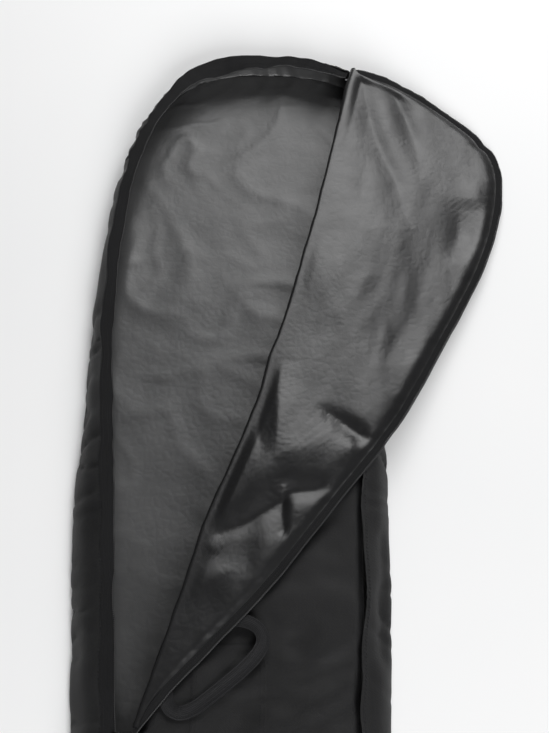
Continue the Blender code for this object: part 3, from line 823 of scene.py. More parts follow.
def wall_grid(seam, foot):
    """Mid-surface of the walls with their wrinkles, and the cloth's own coordinates."""
    grid, share, direction = wall_section(seam, foot)
    nose = nose_share(seam)[None]
    u = lengths(seam)[None] + 0 * share
    v = share * 0.060 + 0 * u
    body = np.sin(math.pi * share) ** 0.7
    wrinkle = 0.0026 * ripples(u, v, 0.060, 23, 2, (1.5, 0.9))
    wrinkle -= 0.0056 * (creases(u, v, 0.050, 31, 8.0, (1.0, 1.6), 0.25) - 0.12)
    wrinkle += nose * 0.0042 * (creases(u, v, 0.028, 41, 4.0, (0.6, 1.6)) - 0.3)
    wrinkle += nose * 0.0030 * ripples(u, v, 0.018, 43, 2, (0.6, 2.6))
    pleat = 1 / (1 + np.exp((np.abs(seam[:, 1] + 0.045) - 0.080) / 0.004)) * (seam[:, 0] > 0)
    wrinkle -= 0.0050 * pleat[None] * bell(share - 0.62, 0.13)
    gather = np.sin(u * 2 * math.pi / 0.011 + 2 * ripples(u, v, 0.05, 47, 1))
    pucker = 0.0006 * gather * bell(share - 0.93, 0.08)
    normal, _ = grid_normals(grid, raised(direction, 0.0)[None])
    grid = grid + normal * (body * wrinkle + pucker)[..., None]
    grid[..., 2] = np.maximum(grid[..., 2], WALL_LOWEST)
    return grid, np.stack([v, u], axis=2)


def build_walls():
    """Four lengths of side wall, joined by upright seams."""
    seam, foot = wall_ring()
    grid, flat = wall_grid(seam, foot)
    right = seam[:, 0] > 0
    y = seam[:, 1]
    parts = {
        "left_gusset": ~right & (y > TAIL_JOIN) & (y < LEFT_NOSE_JOIN),
        "nose_gusset": np.where(right, y >= RIGHT_NOSE_JOIN, y >= LEFT_NOSE_JOIN),
        "right_gusset": right & (y > TAIL_JOIN) & (y < RIGHT_NOSE_JOIN),
        "tail_gusset": y <= TAIL_JOIN,
    }
    ring = len(seam) - 1
    in_tail = parts["tail_gusset"][:ring]
    order = (np.arange(ring) + np.argmax(in_tail & ~np.roll(in_tail, 1))) % ring
    for node, member in parts.items():
        index = order[member[order]]
        index = np.append(index, (index[-1] + 1) % ring)
        along = lengths(seam[index])
        toward = raised(foot[index] - seam[index], 0.0)[None]
        piece_flat = flat[:, index].copy()
        piece_flat[..., 1] = along[None]
        # The walls' inside faces get the lining that is painted lighter to stand in for light.
        piece = cloth_sheet(node.replace("gusset", "side_wall"), grid[:, index], FABRIC, INSIDE_LINING_PAINTED_LIGHT,
                            face_to=toward, flat=piece_flat)
        attach(piece, "shell", "shell_fabric", node)
    return seam, grid


# ---------------------------------------------------------------- back and front

def side_to_side(outline, y):
    """Leftmost and rightmost X of a closed plan outline at each Y."""
    low = np.full(len(y), np.inf)
    high = np.full(len(y), -np.inf)
    for start, end in zip(outline, np.roll(outline, -1, axis=0)):
        if start[1] == end[1]:
            continue
        share = (y - start[1]) / (end[1] - start[1])
        hit = (share >= 0) & (share <= 1)
        x = start[0] + share * (end[0] - start[0])
        low = np.where(hit, np.minimum(low, x), low)
        high = np.where(hit, np.maximum(high, x), high)
    return low, high


def eased(start, end, count):
    """Values from start to end, closer together at both ends."""
    return start + (end - start) * (1 - np.cos(np.linspace(0, math.pi, count))) / 2


def eased_share(value):
    """Value cut to 0 to 1 with soft ends."""
    value = np.clip(value, 0, 1)
    return value * value * (3 - 2 * value)


def plan_rows(low_x, high_x, y, columns):
    """Grid of plan points in rows across the bag."""
    share = eased(0.0, 1.0, columns)[None]
    x = low_x[:, None] + share * (high_x - low_x)[:, None]
    return x, np.broadcast_to(y[:, None], x.shape)


def build_base():
    """Back of the bag: flat underneath, with the loose lining on top."""
    outline = shifted(BODY_LINE[:-1], -BACK_INSET, closed=True)
    tail, nose = outline[:, 1].min(), outline[:, 1].max()
    y = eased(tail + 0.001, nose - 0.001, 320)
    low, high = side_to_side(outline, y)
    x, y = plan_rows(low, high, y, 72)
    wrinkle = 0.0012 * ripples(x, y, 0.12, 61, 3) + 0.0045 * creases(x, y, 0.15, 67, 6.0, (1.0, 1.6), 0.5)
    wrinkle += 0.0022 * creases(x, y, 0.06, 71, 7.0, (1.0, 1.3), -0.7)
    edge = np.minimum(x - low[:, None], high[:, None] - x)
    fade = np.clip(edge / 0.020, 0, 1)
    fade *= np.clip((y - tail) / 0.04, 0, 1) * np.clip((nose - y) / 0.03, 0, 1)
    plan = np.stack([x, y], axis=2)
    # The back's lining is painted lighter to stand in for light in the shaded inside.
    top = cloth_sheet("back_lining_cloth", raised(plan, LINING_HEIGHT + fade * (wrinkle + 0.0006)),
                      INSIDE_LINING_PAINTED_LIGHT, INSIDE_LINING_PAINTED_LIGHT, thickness=0.0008, flat=plan)
    under = raised(plan, BACK_HEIGHT)
    back = cloth_sheet("back_cloth", under, FABRIC, FABRIC, thickness=0.0010, flat=plan)
    for piece, node, slot in ((top, "back_lining", "lining"), (back, "back_panel", "shell_fabric")):
        attach(piece, "shell", slot, node)


def fold_edge(share):
    """How far the rolled fold's left side lies to the right of its hinge line, at shares along it."""
    return np.interp(share, *np.transpose(FOLD_EDGE))


# Soft folds of the front panel: path, height, and spread to the left and right of the path
FRONT_FOLDS = [
    ([(0.060, -0.036), (0.110, -0.030), (0.150, -0.040), (0.180, -0.060)], -0.0062, 0.034, 0.012),
    ([(0.166, 0.090), (0.158, 0.030), (0.166, -0.030)], -0.0050, 0.014, 0.020),
    ([(0.160, -0.070), (0.150, -0.150), (0.160, -0.250)], -0.0044, 0.016, 0.026),
    ([(0.100, 0.060), (0.120, -0.010)], -0.0034, 0.026, 0.020),
    ([(0.040, -0.120), (0.110, -0.110), (0.140, -0.150)], -0.0040, 0.024, 0.018),
    ([(-0.100, -0.330), (-0.020, -0.360), (0.090, -0.340)], -0.0030, 0.030, 0.020),
    ([(-0.120, -0.520), (0.000, -0.560), (0.120, -0.520)], -0.0035, 0.024, 0.036),
]


def front_height(x, y):
    """Mid-surface of the fixed front panel, which nothing lifts above its limit."""
    mask = np.clip(0.55 + 0.9 * ripples(x, y, 0.17, 79, 1), 0, 1)
    height = 0.0105 * mask * ripples(x, y, 0.060, 81, 1, (2.2, 0.8), 0.5)
    height += 0.0090 * (1 - mask) * ripples(x, y, 0.070, 83, 1, (0.8, 2.0), 0.2)
    height += 0.0024 * mask * ripples(x, y, 0.026, 87, 1, (1.6, 0.8), -0.3)
    height += fold_marks(x, y, FRONT_FOLDS)
    limit, softness, bias = 0.0008, 0.0009, 0.0018
    return PANEL_HEIGHT + limit - softness * np.logaddexp(0.0, (limit + bias - height) / softness)


def front_edges(y, seam):
    """Left and right X of the fixed front panel at each Y."""
    low, high = side_to_side(seam, y)
    along = (y - FOLD_ORIGIN[1]) / FOLD_DIRECTION[1]
    roll = FOLD_ROLL + np.maximum(fold_edge(along / FOLD_LENGTH), 0)
    fold_x = FOLD_ORIGIN[0] + along * FOLD_DIRECTION[0] + roll / FOLD_DIRECTION[1]
    past_step = eased_share((y - FRONT_STEP) / 0.006)
    beside = np.where(y < FOLD_ORIGIN[1], CHAIN_SIDE_X, fold_x)
    left = low * (1 - past_step) + np.maximum(beside, low) * past_step
    return left, high


def build_front(seam):
    """Fixed front panel: the tail end, and all that lies right of the fold."""
    inset = shifted(seam[:-1], -FRONT_INSET, closed=True)
    y = eased(inset[:, 1].min() + 0.0012, FRONT_TOP, 300)
    low, high = front_edges(y, inset)
    x, y = plan_rows(low, high, y, 66)
    edge = np.minimum(x - low[:, None], high[:, None] - x)
    edge = np.minimum(edge, y - inset[:, 1].min())
    hollow = 0.0060 + 0.0030 * ripples(y, 0 * y, 0.03, 89, 2)
    turn_in = hollow * bell(edge, 0.0056 + 0.0024 * ripples(y, 0 * y + 0.5, 0.045, 90, 2))
    height = front_height(x, y) - turn_in * (y < FRONT_TOP - 0.022)
    grid = np.stack([x, y, height], axis=2)
    piece = cloth_sheet("front_cloth", grid, FABRIC, LINING, flat=grid[..., :2])
    attach(piece, "shell", "shell_fabric", "front_panel")
    return grid


def over_front(path, lift):
    """Plan path laid on the front panel."""
    return raised(path, front_height(path[:, 0], path[:, 1]) + CLOTH / 2 + lift)


def build_strip():
    """Centre strip with folded edges and two rows of stitches down each side."""
    low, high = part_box("front_strip")
    x, y = np.meshgrid(np.linspace(low.x, high.x, 24), np.linspace(low.y, high.y, 150))
    edge = np.minimum(x - low.x, high.x - x)
    height = front_height(x, y) + CLOTH / 2 + 0.0006 - 0.0004 * bell(edge, 0.0015)
    grid = np.stack([x, y, height], axis=2)
    piece = cloth_sheet("front_strip_cloth", grid, FABRIC, FABRIC, thickness=0.0009, flat=grid[..., :2])
    attach(piece, "shell", "strip", "front_strip")
    rows = []
    for edge_x, inward in ((low.x, 1), (high.x, -1)):
        for inset in (0.0020, 0.0065):
            line_x = edge_x + inward * inset
            line = spaced([(line_x, low.y + 0.002), (line_x, high.y - 0.002)], 0.004)
            rows.append((over_front(line, 0.00115), (0, 0, 1)))
    thread_piece = stitches("strip_stitches", rows, THREAD)
    attach(thread_piece, "shell", "webbing")


# ---------------------------------------------------------------- zips

def coil_tube(name, path, width=0.0026, phase=0):
    """Coil of a zip: a chain of swollen loops."""
    tooth = np.array([0.70, 1.0, 1.0, 0.70])
    count = round(lengths(path)[-1] / COIL_PITCH) * len(tooth)
    swell = tooth[(np.arange(count) + phase) % len(tooth)]
    return tube(name, resample(path, count), (0, 0, 1), width * swell, COIL_HEIGHT * swell, COIL)


def tape_threads(name, grid, shares):
    """Rows of stitches along a tape, at shares of its width."""
    rows = []
    for share in shares:
        past, column = math.modf(share * (grid.shape[1] - 1))
        line = grid[:, int(column)] * (1 - past) + grid[:, int(column) + 1] * past
        rows.append((line + (0, 0, TAPE_CLOTH / 2 + 0.0001), (0, 0, 1)))
    return stitches(name, rows, THREAD)


def build_body_zip():
    """Zip half on the body: a wavy tape sewn to the wall's upper edge, and its coil."""
    run = spaced(stretch(ZIP_CURVE, lambda points: ZIP_END_X - points[:, 0]), 0.0040)
    along = lengths(run)
    loose = np.clip(along / 0.08, 0, 1) * (1 + 1.5 * np.clip((along - 0.98) / 0.06, 0, 1))
    sideways, upward = edge_waves(shifted(run, BODY_TAPE_SEAM))
    nose = bell(along - 1.06, 0.10)
    inner_wave = np.abs(wave(along, 91, 0.110, 0.0036)) * loose
    inner_wave -= nose * (0.0100 + wave(along, 95, 0.05, 0.0050))
    curl = wave(along, 93, 0.09, 0.0028) * loose - 0.0080 * nose
    share = np.linspace(0, 1, 9)[None]
    height = (TAPE_HEIGHT + upward[:, None] * (0.6 + 0.4 * share) + curl[:, None] * (1 - share) ** 1.5
              - 0.0006 * share)
    inner, outer = shifted(run, TAPE_INNER + inner_wave), shifted(run, BODY_TAPE_SEAM + sideways)
    grid = raised(between(inner, outer, share), height)
    tape = cloth_sheet("body_tape", grid, TAPE, TAPE, thickness=TAPE_CLOTH)
    coil = coil_tube("body_coil", raised(shifted(run, COIL_LINE + inner_wave), height[:, 0] + 0.0002))
    thread_piece = tape_threads("body_tape_stitches", grid, (0.36, 0.80))
    attach(tape, "shell", "zip_tape", "body_zip_tape")
    attach(coil, "shell", "zip_coil", "body_zip_coil")
    attach(thread_piece, "shell", "webbing")


def build_closed_chain(seam):
    """The short closed stretch behind the slider: both tapes and the meshed coils."""
    along = np.linspace(CHAIN_ENDS[0] - CHAIN_TAIL, CHAIN_ENDS[1] + CHAIN_UNDER_SLIDER, 40)
    seam_along = (seam - ZIP_ORIGIN) @ ZIP_DIRECTION
    seam_out = (seam - ZIP_ORIGIN) @ ZIP_OUTWARD
    beside = np.flatnonzero((np.abs(seam_along) < 0.12) & (seam_out > 0) & (seam_out < 0.06))
    beside = beside[np.argsort(seam_along[beside])]
    reach = np.interp(along, seam_along[beside], seam_out[beside]) + 0.0012

    def line(out, height):
        return raised(beside_zip(np.column_stack([along, np.broadcast_to(out, len(along))])), height)

    grid = np.stack([line(-COVER_TAPE_OUTER + share * (reach + COVER_TAPE_OUTER), CHAIN_HEIGHT - 0.0002)
                     for share in np.linspace(0, 1, 15)], axis=1)
    tape = cloth_sheet("closed_chain_tape", grid, TAPE, TAPE, thickness=TAPE_CLOTH)
    coils = [coil_tube("closed_chain_coil_" + name, line(out, CHAIN_HEIGHT + 0.0006), 0.0030, phase)
             for name, out, phase in (("cover", -0.0012, 0), ("body", 0.0012, 2))]
    thread_piece = tape_threads("closed_chain_stitches", grid, (0.13, 0.30, 0.72, 0.90))
    attach(tape, "shell", "zip_tape", "closed_zip_chain")
    for coil in coils:
        attach(coil, "shell", "zip_coil")
    attach(thread_piece, "shell", "webbing")


# ---------------------------------------------------------------- the cover

def top_corner(plan):
    """1 at the cover's top corner, fading to 0 over the cover."""
    return bell(np.linalg.norm(plan - TOP_CORNER, axis=-1), TOP_CORNER_SIZE)


def corner_out(plan):
    """Plan points of the cover with its top corner moved out."""
    return plan + top_corner(plan)[..., None] * (0.0, TOP_CORNER_REACH)


def cover_line(inset):
    """Plan curve of the folded-back cover, an inset in from the zip line, and on to the fold."""
    closed = spaced(np.vstack([ZIP_CURVE, COVER_ZIP_END]), 0.006)
    bow = np.interp(lengths(closed), *np.transpose(EDGE_BOW))
    return turned_over(shifted(closed, bow - inset))


def cover_edge_line(count):
    """Plan of the folded-back cover cloth's free edge, where the zip tape is sewn on."""
    edge = stretch(cover_line(COVER_HEM), lambda points: right_of_fold(points) - FOLD_CLEARANCE)
    return resample(edge, count)


def cover_height(x):
    """Mid-surface of the folded-back cover, before its wrinkles."""
    past = (x - BEND_X) / BEND_SOFTNESS
    droop = BEND_SOFTNESS * np.logaddexp(0.0, past) * math.tan(BEND_ANGLE)
    sag = 0.0040 * np.sin(math.pi * np.clip((x - BEND_X) / 0.22, 0, 1)) ** 2
    return COVER_HEIGHT - droop - sag


# Creases of the cover: path, height, and how far it spreads to the left and right of the path
COVER_FOLDS = [
    ([(0.178, 0.810), (0.189, 0.718), (0.198, 0.665), (0.212, 0.620), (0.229, 0.572), (0.240, 0.490)],
     -0.0080, 0.017, 0.030),
    ([(0.215, 0.800), (0.236, 0.722), (0.250, 0.690), (0.262, 0.650), (0.266, 0.585)], -0.0064, 0.014, 0.025),
    ([(0.190, 0.630), (0.180, 0.570), (0.178, 0.530), (0.190, 0.480)], -0.0030, 0.016, 0.018),
    ([(0.335, 0.560), (0.328, 0.499), (0.306, 0.440)], -0.0020, 0.020, 0.022),
    ([(0.323, 0.560), (0.318, 0.500), (0.300, 0.440)], -0.0042, 0.024, 0.024),
    ([(0.350, 0.600), (0.345, 0.540)], 0.0022, 0.018, 0.018),
    ([(0.105, 0.470), (0.120, 0.380), (0.160, 0.290)], 0.0024, 0.040, 0.030),
    ([(0.180, 0.400), (0.210, 0.330), (0.215, 0.260)], -0.0030, 0.034, 0.024),
    ([(0.060, 0.262), (0.057, 0.190), (0.056, 0.112)], 0.0056, 0.026, 0.012),
    ([(0.034, 0.230), (0.031, 0.170), (0.037, 0.118)], -0.0022, 0.008, 0.010),
    ([(-0.060, 0.006), (-0.011, 0.024), (0.019, 0.036), (0.056, 0.062), (0.070, 0.074), (0.117, 0.081),
      (0.143, 0.092), (0.180, 0.118)], -0.0062, 0.016, 0.014),
    ([(-0.040, 0.012), (0.005, 0.066), (0.046, 0.112), (0.092, 0.136), (0.150, 0.160)], 0.0095, 0.060, 0.034),
    ([(0.105, 0.196), (0.149, 0.166), (0.200, 0.124)], -0.0070, 0.010, 0.018),
    ([(0.062, 0.026), (0.074, -0.004), (0.086, -0.018), (0.098, -0.004), (0.108, 0.036)],
     0.0085, 0.055, 0.012),
    ([(0.064, 0.092), (0.062, 0.040), (0.070, -0.002)], -0.0052, 0.007, 0.018),
    ([(-0.050, 0.018), (-0.012, -0.002)], 0.0030, 0.018, 0.010),
    ([(0.149, 0.156), (0.146, 0.108)], 0.0030, 0.012, 0.012),
    ([(-0.056, -0.066), (-0.020, -0.034), (0.024, -0.022)], 0.0034, 0.018, 0.024),
]
# The cover lies flat over the handle's patches
PATCH_CENTRES = [(-0.0583, -0.1251), (-0.0244, -0.0805)]
PATCH_CALM = 0.032


def cover_wrinkles(x, y, ripple_share, fold_share):
    """Folds and creases of the folded-back cover, each kind faded by its own share."""
    upper = eased_share((y - 0.40) / 0.10)
    height = (0.0026 - 0.0012 * upper) * ripples(x, y, 0.16, 101, 2, (0.7, 1.5), -0.2)
    height += (0.0010 - 0.0006 * upper) * ripples(x, y, 0.06, 105, 2, (0.6, 1.8), -0.25)
    height = ripple_share * height + fold_share * fold_marks(x, y, COVER_FOLDS)
    for centre in PATCH_CENTRES:
        height *= 1 - bell(np.hypot(x - centre[0], y - centre[1]), PATCH_CALM)
    return height


def build_cover():
    """One sheet from the fold to the zip tape, with its inside facing up."""
    rows, columns = 380, 92
    edge = cover_edge_line(rows)
    share = np.linspace(0, 1, rows)
    fold = FOLD_ORIGIN + (FOLD_INSET + share[:, None] * (FOLD_LENGTH - FOLD_SPARE)) * FOLD_DIRECTION
    fold = fold + (FOLD_ROLL + fold_edge(share))[:, None] * FOLD_RIGHT
    across = np.linspace(0, 1, columns)[None]
    plan = between(fold, edge, across)
    x, y = plan[..., 0], plan[..., 1]
    width = np.linalg.norm(edge - fold, axis=1)[:, None]
    from_fold = across * width
    from_edge = (1 - across) * width
    ripple_share = 0.30 + 0.70 * eased_share(from_edge / 0.04) * eased_share(from_fold / 0.06)
    fold_share = eased_share(from_edge / 0.030) * eased_share(from_fold / 0.018)
    height = cover_height(x) + cover_wrinkles(x, y, ripple_share, fold_share)
    along = lengths(edge)[:, None] + 0 * x
    height += 0.0004 * ripples(along, from_edge, 0.018, 113, 2, (1.0, 4.0)) * bell(from_edge, 0.018)
    near_tape = bell(from_edge, 0.009) * (1 - bell(from_fold, 0.02))
    height -= near_tape * (COVER_HEIGHT - COVER_TAPE_HEIGHT)
    softness = 0.0020
    height = FLOOR_GAP + softness * np.logaddexp(0.0, (height - FLOOR_GAP) / softness)
    grid = raised(corner_out(plan), height + TOP_CORNER_RISE * top_corner(plan))
    piece = cloth_sheet("cover_cloth", grid, LINING, FABRIC, flat=plan)
    over_bend(piece)
    label(piece, "lining", "cover_inner_panel", "cover_inner_lining", "cover_outer_panel",
          "cover_outer_lining")
    return piece, grid


def over_bend(piece):
    """Bakes the piece's transform into its mesh."""
    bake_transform(piece)


def build_cover_zip(cover):
    """Zip half on the cover's free edge: tape on the lining's side, coil, and stitches."""
    line, inner_line = cover_line(0.0), cover_line(0.001)
    run = spaced(line, 0.0040)
    along = lengths(run)
    inward = unit(sampled(inner_line - line, lengths(line), along))
    widest = COVER_HEM + HEM_OVERLAP
    to_fold = np.abs(right_of_fold(run) - 0.0020) / np.maximum(-(inward @ FOLD_RIGHT), 1e-3)
    inner = np.minimum(widest, to_fold)
    scallop = wave(along, 121, 0.055, 0.0007) * (1 + 1.6 * np.clip((run[:, 1] - 0.50) / 0.1, 0, 1))
    across = np.linspace(0, 1, 9)[None]
    inset = inner[:, None] * (1 - across) + (TAPE_INNER - scallop)[:, None] * across
    plan = corner_out(run[:, None] + inward[:, None] * inset[..., None])
    curl = wave(along, 127, 0.07, 0.0014)[:, None] * across ** 2
    height = cover_level(cover, plan) - 0.0001 + curl
    grid = raised(plan, height)
    tape = cloth_sheet("cover_tape", grid, TAPE, TAPE, thickness=TAPE_CLOTH)
    coil_plan = corner_out(run + inward * (COIL_LINE - scallop)[:, None])
    coil = coil_tube("cover_coil", raised(coil_plan, height[:, -1] - 0.0003))
    thread_piece = tape_threads("cover_tape_stitches", grid, (0.30, 0.62))
    for piece in (tape, coil, thread_piece):
        over_bend(piece)
    label(tape, "zip_tape", "cover_inner_zip_tape", "cover_outer_zip_tape")
    label(coil, "zip_coil", "cover_inner_zip_coil", "cover_outer_zip_coil")
    label(thread_piece, "webbing")


def cover_level(cover, plan):
    """Height of the cover cloth's free edge at the place nearest to each plan point."""
    edge = cover[:, -1]
    away = np.linalg.norm(plan[..., None, :] - edge[:, :2], axis=-1)
    return edge[away.argmin(axis=-1), 2]


def build_fold(cover):
    """The rolled cloth that joins the front panel's edge to the cover."""
    start = cover[:, 0]
    share = np.linspace(0, 1, len(start))
    bow = fold_edge(share)[:, None]
    on_hinge = start[:, :2] - (FOLD_ROLL + bow) * FOLD_RIGHT
    top = start[:, 2:3]
    middle, half = (top + FOLD_FOOT_HEIGHT) / 2, (top - FOLD_FOOT_HEIGHT) / 2
    turn = np.linspace(-0.5 * math.pi, -1.5 * math.pi, 17)[None]
    jitter = 0.0010 * ripples(share * FOLD_LENGTH, 0 * share, 0.045, 131, 2)[:, None]
    roll_right = bow + half + (half + jitter) * np.cos(turn)
    roll_up = middle + half * np.sin(turn)
    leg = np.clip(0.0055 + 0.12 * share * FOLD_LENGTH, 0, 0.0180)[:, None]
    right = np.hstack([bow + leg, bow + (leg + half) / 2, roll_right, bow + FOLD_ROLL])
    up = np.hstack([0 * bow + FOLD_FOOT_HEIGHT, 0 * bow + FOLD_FOOT_HEIGHT, roll_up, top])
    grid = raised(on_hinge[:, None] + right[..., None] * FOLD_RIGHT, up)
    piece = cloth_sheet("cover_fold_cloth", grid, LINING, FABRIC, face_to=(*(-FOLD_RIGHT), 0.0),
                        flat=start[:, None, :2] - right[..., None] * FOLD_RIGHT)
    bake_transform(piece)
    label(piece, "lining")


# ---------------------------------------------------------------- carry handle

def to_front(points, height):
    """Points beside the zip, turned over with the cover, at a height."""
    return raised(turned_over(beside_zip(points)), height)


def cross_box(centre, half_along, half_out, height):
    """Stitched box with an X in it, as paths."""
    signs = np.array([(-1, -1), (1, -1), (1, 1), (-1, 1)])
    corner = to_front(centre + signs * (half_along, half_out), height)
    legs = ((0, 1), (1, 2), (2, 3), (3, 0), (0, 2), (1, 3))
    return [(spaced(corner[list(leg)], 0.002), (0, 0, -1)) for leg in legs]


def across_handle_hinge(piece):
    """Bakes the piece's transform into its mesh."""
    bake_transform(piece)


def build_handle():
    """Webbing handle sewn to the outer face of the cover, and the patches under its ends."""
    path = spaced(smooth(HANDLE_PATH), 0.0025)
    left = normals(path)
    along = lengths(path)
    share = along / along[-1]
    across = np.linspace(-0.5, 0.5, 7)[None]
    loose = np.clip(np.minimum(share, 1 - share) / 0.15, 0, 1)[:, None]
    lift = loose * (0.0012 * ripples(along, 0 * along, 0.07, 141, 2)[:, None] + 0.0010)
    tilt = loose * 0.0026 * np.sin(2 * math.pi * share + 0.6)[:, None]
    cup = -0.0003 * (2 * across) ** 2 * loose
    bend = np.gradient(np.unwrap(np.arctan2(*np.gradient(path, axis=0).T[::-1])), along)[:, None]
    outside = eased_share((path[:, 1:] - 0.006) / 0.012)
    tilt = tilt + 0.0052 * np.clip(bend * 0.018, -1, 1) * outside
    plan = path[:, None] + left[:, None] * (across * HANDLE_WIDTH)[..., None]
    height = lift + tilt * across + cup
    height = HANDLE_HEIGHT + np.where(height > 0, height, 0.0012 * np.tanh(height / 0.0012))
    grid = to_front(plan, height)
    flat = np.stack(np.broadcast_arrays(across * HANDLE_WIDTH, along[:, None]), axis=2)
    strap = cloth_sheet("carry_handle", grid, WEBBING, WEBBING, thickness=0.0015, flat=flat)
    rows = [(grid[:, column] + (0, 0, side * 0.0009), (0, 0, side)) for side in (1, -1) for column in (1, -2)]
    edge_threads = stitches("carry_handle_stitches", rows, THREAD)
    for piece in (strap, edge_threads):
        across_handle_hinge(piece)
    label(strap, "webbing", "handle_loop", "handle_end_lower", "handle_end_upper")
    label(edge_threads, "webbing")
    for name, (low, high) in PATCH_ALONG.items():
        build_patch(name, low, high)


def build_patch(name, low, high):
    """Patch that spreads the handle's pull, with the box of stitches that holds the webbing's end."""
    v, u = np.meshgrid(np.linspace(0, 1, 13), np.linspace(0, 1, 15))
    rounding = 0.0016 * (np.abs(2 * u - 1) ** 8 * np.abs(2 * v - 1) ** 8)
    width = PATCH_OUT[1] - PATCH_OUT[0]
    spread = np.stack([low + (high - low) * u + rounding * np.sign(0.5 - u),
                       PATCH_OUT[0] + width * v + rounding * np.sign(0.5 - v)], axis=2)
    height = PATCH_HEIGHT + 0.0003 * ripples(spread[..., 0], spread[..., 1], 0.012, 151, 2)
    grid = to_front(spread, height)
    patch = cloth_sheet("handle_patch_" + name + "_cloth", grid, WEBBING, WEBBING, thickness=0.0013,
                        face_to=(0, 0, -1), flat=spread)
    centre = ((low + high) / 2, PATCH_OUT[1] - 0.0055)
    rows = cross_box(centre, 0.0055, 0.0040, HANDLE_HEIGHT - 0.0008)
    middle = ((low + high) / 2, sum(PATCH_OUT) / 2)
    rows += cross_box(middle, (high - low) / 2 - 0.0020, width / 2 - 0.0018, PATCH_HEIGHT - 0.0010)[:4]
    threads = stitches("handle_patch_" + name + "_stitches", rows, THREAD, pitch=0.0026, length=0.0021)
    attach(patch, "cover", "webbing", "handle_patch_" + name)
    attach(threads, "cover", "webbing")


# ---------------------------------------------------------------- slider, puller and stops

def rounded(node, name, width):
    """Painted copy of a CAD node with its sharp edges rounded over."""
    work = bmesh.new()
    work.from_mesh(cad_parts[node].data)
    bmesh.ops.remove_doubles(work, verts=work.verts, dist=1e-6)
    bmesh.ops.dissolve_limit(work, angle_limit=math.radians(3), verts=work.verts, edges=work.edges)
    sharp = [edge for edge in work.edges if edge.calc_face_angle(0.0) > math.radians(25)]
    bmesh.ops.bevel(work, geom=sharp, offset=width, segments=3, profile=0.5, affect="EDGES",
                    clamp_overlap=True)
    bmesh.ops.recalc_face_normals(work, faces=work.faces)
    data = bpy.data.meshes.new(name)
    work.to_mesh(data)
    work.free()
    data.materials.append(METAL)
    data.shade_smooth()
    return linked(name, data)


def build_slider():
    """Slider, puller and stops from their CAD solids with rounded edges, and the ribbed grip."""
    for node, name, body, width in (("slider_body", "slider_plates", "zip_slider", 0.00035),
                                    ("slider_bridge", "slider_arch", "zip_slider", 0.00035),
                                    ("puller_tab", "puller_plate", "zip_puller", 0.00035),
                                    ("zip_bottom_stop", "bottom_stop_clamp", "shell", 0.00035),
                                    ("zip_top_stop", "top_stop_clamp", "shell", 0.00060)):
        attach(rounded(node, name, width), body, "hardware", node)
    low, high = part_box("puller_grip")
    centre = (np.array(low) + np.array(high)) / 2
    step = np.linspace(-0.5, 0.5, 113)
    path = centre - step[:, None] * GRIP_LENGTH * np.array([*ZIP_DIRECTION, 0.0])
    ends = np.clip((0.5 - np.abs(step)) / 0.07, 0, 1) ** 0.5
    shift, reach, rib_pitch = 0.02, 0.36, 0.0024
    ribs = 0.5 + 0.5 * np.cos(np.clip(step + shift, -reach, reach) * GRIP_LENGTH * 2 * math.pi / rib_pitch)
    ribs = ribs * np.clip((reach - np.abs(step + shift)) / 0.02, 0, 1)
    waist = 1 - 0.10 * np.cos(step * math.pi) ** 2
    width = GRIP_WIDTH * (0.35 + 0.65 * ends) * waist - 0.0004 * ribs
    height = GRIP_THICKNESS * (0.40 + 0.60 * ends) - 0.0010 * ribs
    grip = tube("puller_ribbed_grip", path, (0, 0, 1), width, height, RUBBER, sides=24, squareness=0.55)
    attach(grip, "zip_puller", "grip", "puller_grip")


# ---------------------------------------------------------------- seams

def build_seams(seam, grid, front):
    """Welts over the upright joins of the walls, and the stitched seams round the bag."""
    outward_3d = raised(across_seam(seam, grid[2, :, :2] - seam), 0.0)
    rows = []
    for y, side in ((LEFT_NOSE_JOIN, -1), (RIGHT_NOSE_JOIN, 1), (TAIL_JOIN, -1), (TAIL_JOIN, 1)):
        away = np.abs(seam[:, 1] - y) + 1.0 * (np.sign(seam[:, 0]) != side)
        column = int(away.argmin())
        section = grid[4:, column] + outward_3d[column] * 0.0009
        ahead = unit(np.array([*(seam[(column + 1) % len(seam)] - seam[column]), 0.0]))
        name = "{}_{}_welt".format("nose" if y > 0 else "tail", "right" if side > 0 else "left")
        welt = tube(name, spaced(section, 0.002), outward_3d[column], 0.0042, 0.0012, BINDING, sides=12,
                    squareness=0.8)
        attach(welt, "shell", "shell_fabric")
        for offset in (-0.0042, 0.0042):
            rows.append((spaced(section - outward_3d[column] * 0.0002 + ahead * offset, 0.003),
                         outward_3d[column]))
    for row in (-4, -3):
        rows.append((grid[row] + outward_3d * 0.0008, outward_3d * 0.8 + (0, 0, 0.6)))
    right, left = (front[:, column] + (0, 0, CLOTH / 2 + 0.0001) for column in (-6, 5))
    rows.append((right, (0, 0, 1)))
    rows.append((left[left[:, 1] < FRONT_STEP - 0.017], (0, 0, 1)))
    threads = stitches("seam_stitches", rows, THREAD, pitch=0.0046, length=0.0034, radius=0.00036)
    attach(threads, "shell", "webbing")


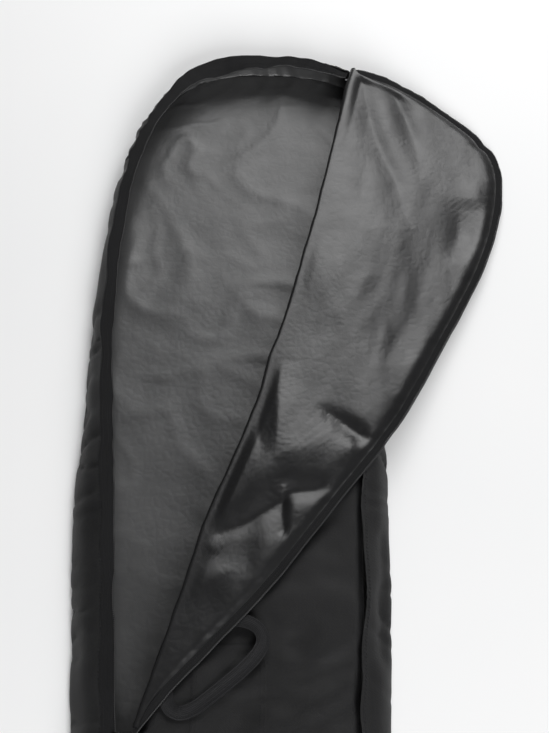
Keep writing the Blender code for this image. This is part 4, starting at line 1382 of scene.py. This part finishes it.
SEAM, WALL_GRID = build_walls()
build_base()
FRONT_GRID = build_front(SEAM)
build_strip()
build_body_zip()
build_closed_chain(SEAM)
COVER_CLOTH, COVER_GRID = build_cover()
build_cover_zip(COVER_GRID)
build_fold(COVER_GRID)
build_handle()
build_slider()
build_seams(SEAM, WALL_GRID, FRONT_GRID)


# ---------------------------------------------------------------- stage, camera and light

FLOOR_REACH = 14.0
CAMERA_PLACE = (0.052, -0.487, 1.339)
CAMERA_TILT = math.radians(30.0)
CAMERA_LENS = 55.74
LAMP_TARGET = (0.1, 0.3, 0.0)

# Name, place, size and power
SOFTBOXES = [("softbox_far", (0.60, 2.25, 1.75), 2.0, 55.0),
             ("softbox_tail", (0.80, -3.30, 2.10), 1.9, 168.0)]


def look_at(made, target):
    """Turns a lamp to a point."""
    made.rotation_euler = (Vector(target) - made.location).to_track_quat("-Z", "Y").to_euler()


def build_stage():
    """White floor, camera at the bag's tail end and soft lamps."""
    nodes = Nodes("floor_white")
    mottle = nodes.noise(nodes.object_place(), 3.0, 2.0)
    paint = nodes.finish(nodes.colours(mottle, (0.88, 0.885, 0.89), (0.92, 0.92, 0.92)), 0.8,
                         Specular_IOR_Level=0.2)
    signs = ((-1, -1), (1, -1), (1, 1), (-1, 1))
    floor_corners = [(x * FLOOR_REACH, y * FLOOR_REACH, -0.0005) for x, y in signs]
    mesh_object("floor", floor_corners, [(0, 1, 2, 3)], [paint])

    camera_data = bpy.data.cameras.new("camera")
    camera_data.lens = CAMERA_LENS
    camera_data.sensor_width = 36.0
    camera_data.clip_end = 60.0
    camera = linked("camera", camera_data)
    camera.location = CAMERA_PLACE
    camera.rotation_euler = (CAMERA_TILT, 0.0, 0.0)
    bpy.context.scene.camera = camera

    world = bpy.data.worlds.new("studio")
    world.use_nodes = True
    sky = world.node_tree.nodes["Background"].inputs
    sky["Color"].default_value = (1.0, 1.0, 1.0, 1.0)
    sky["Strength"].default_value = 0.12
    bpy.context.scene.world = world
    bpy.context.scene.view_settings.view_transform = "Standard"
    for name, place, size, power in SOFTBOXES:
        data = bpy.data.lights.new(name, "AREA")
        data.size = size
        data.energy = power
        lamp = linked(name, data)
        lamp.location = place
        look_at(lamp, LAMP_TARGET)


build_stage()
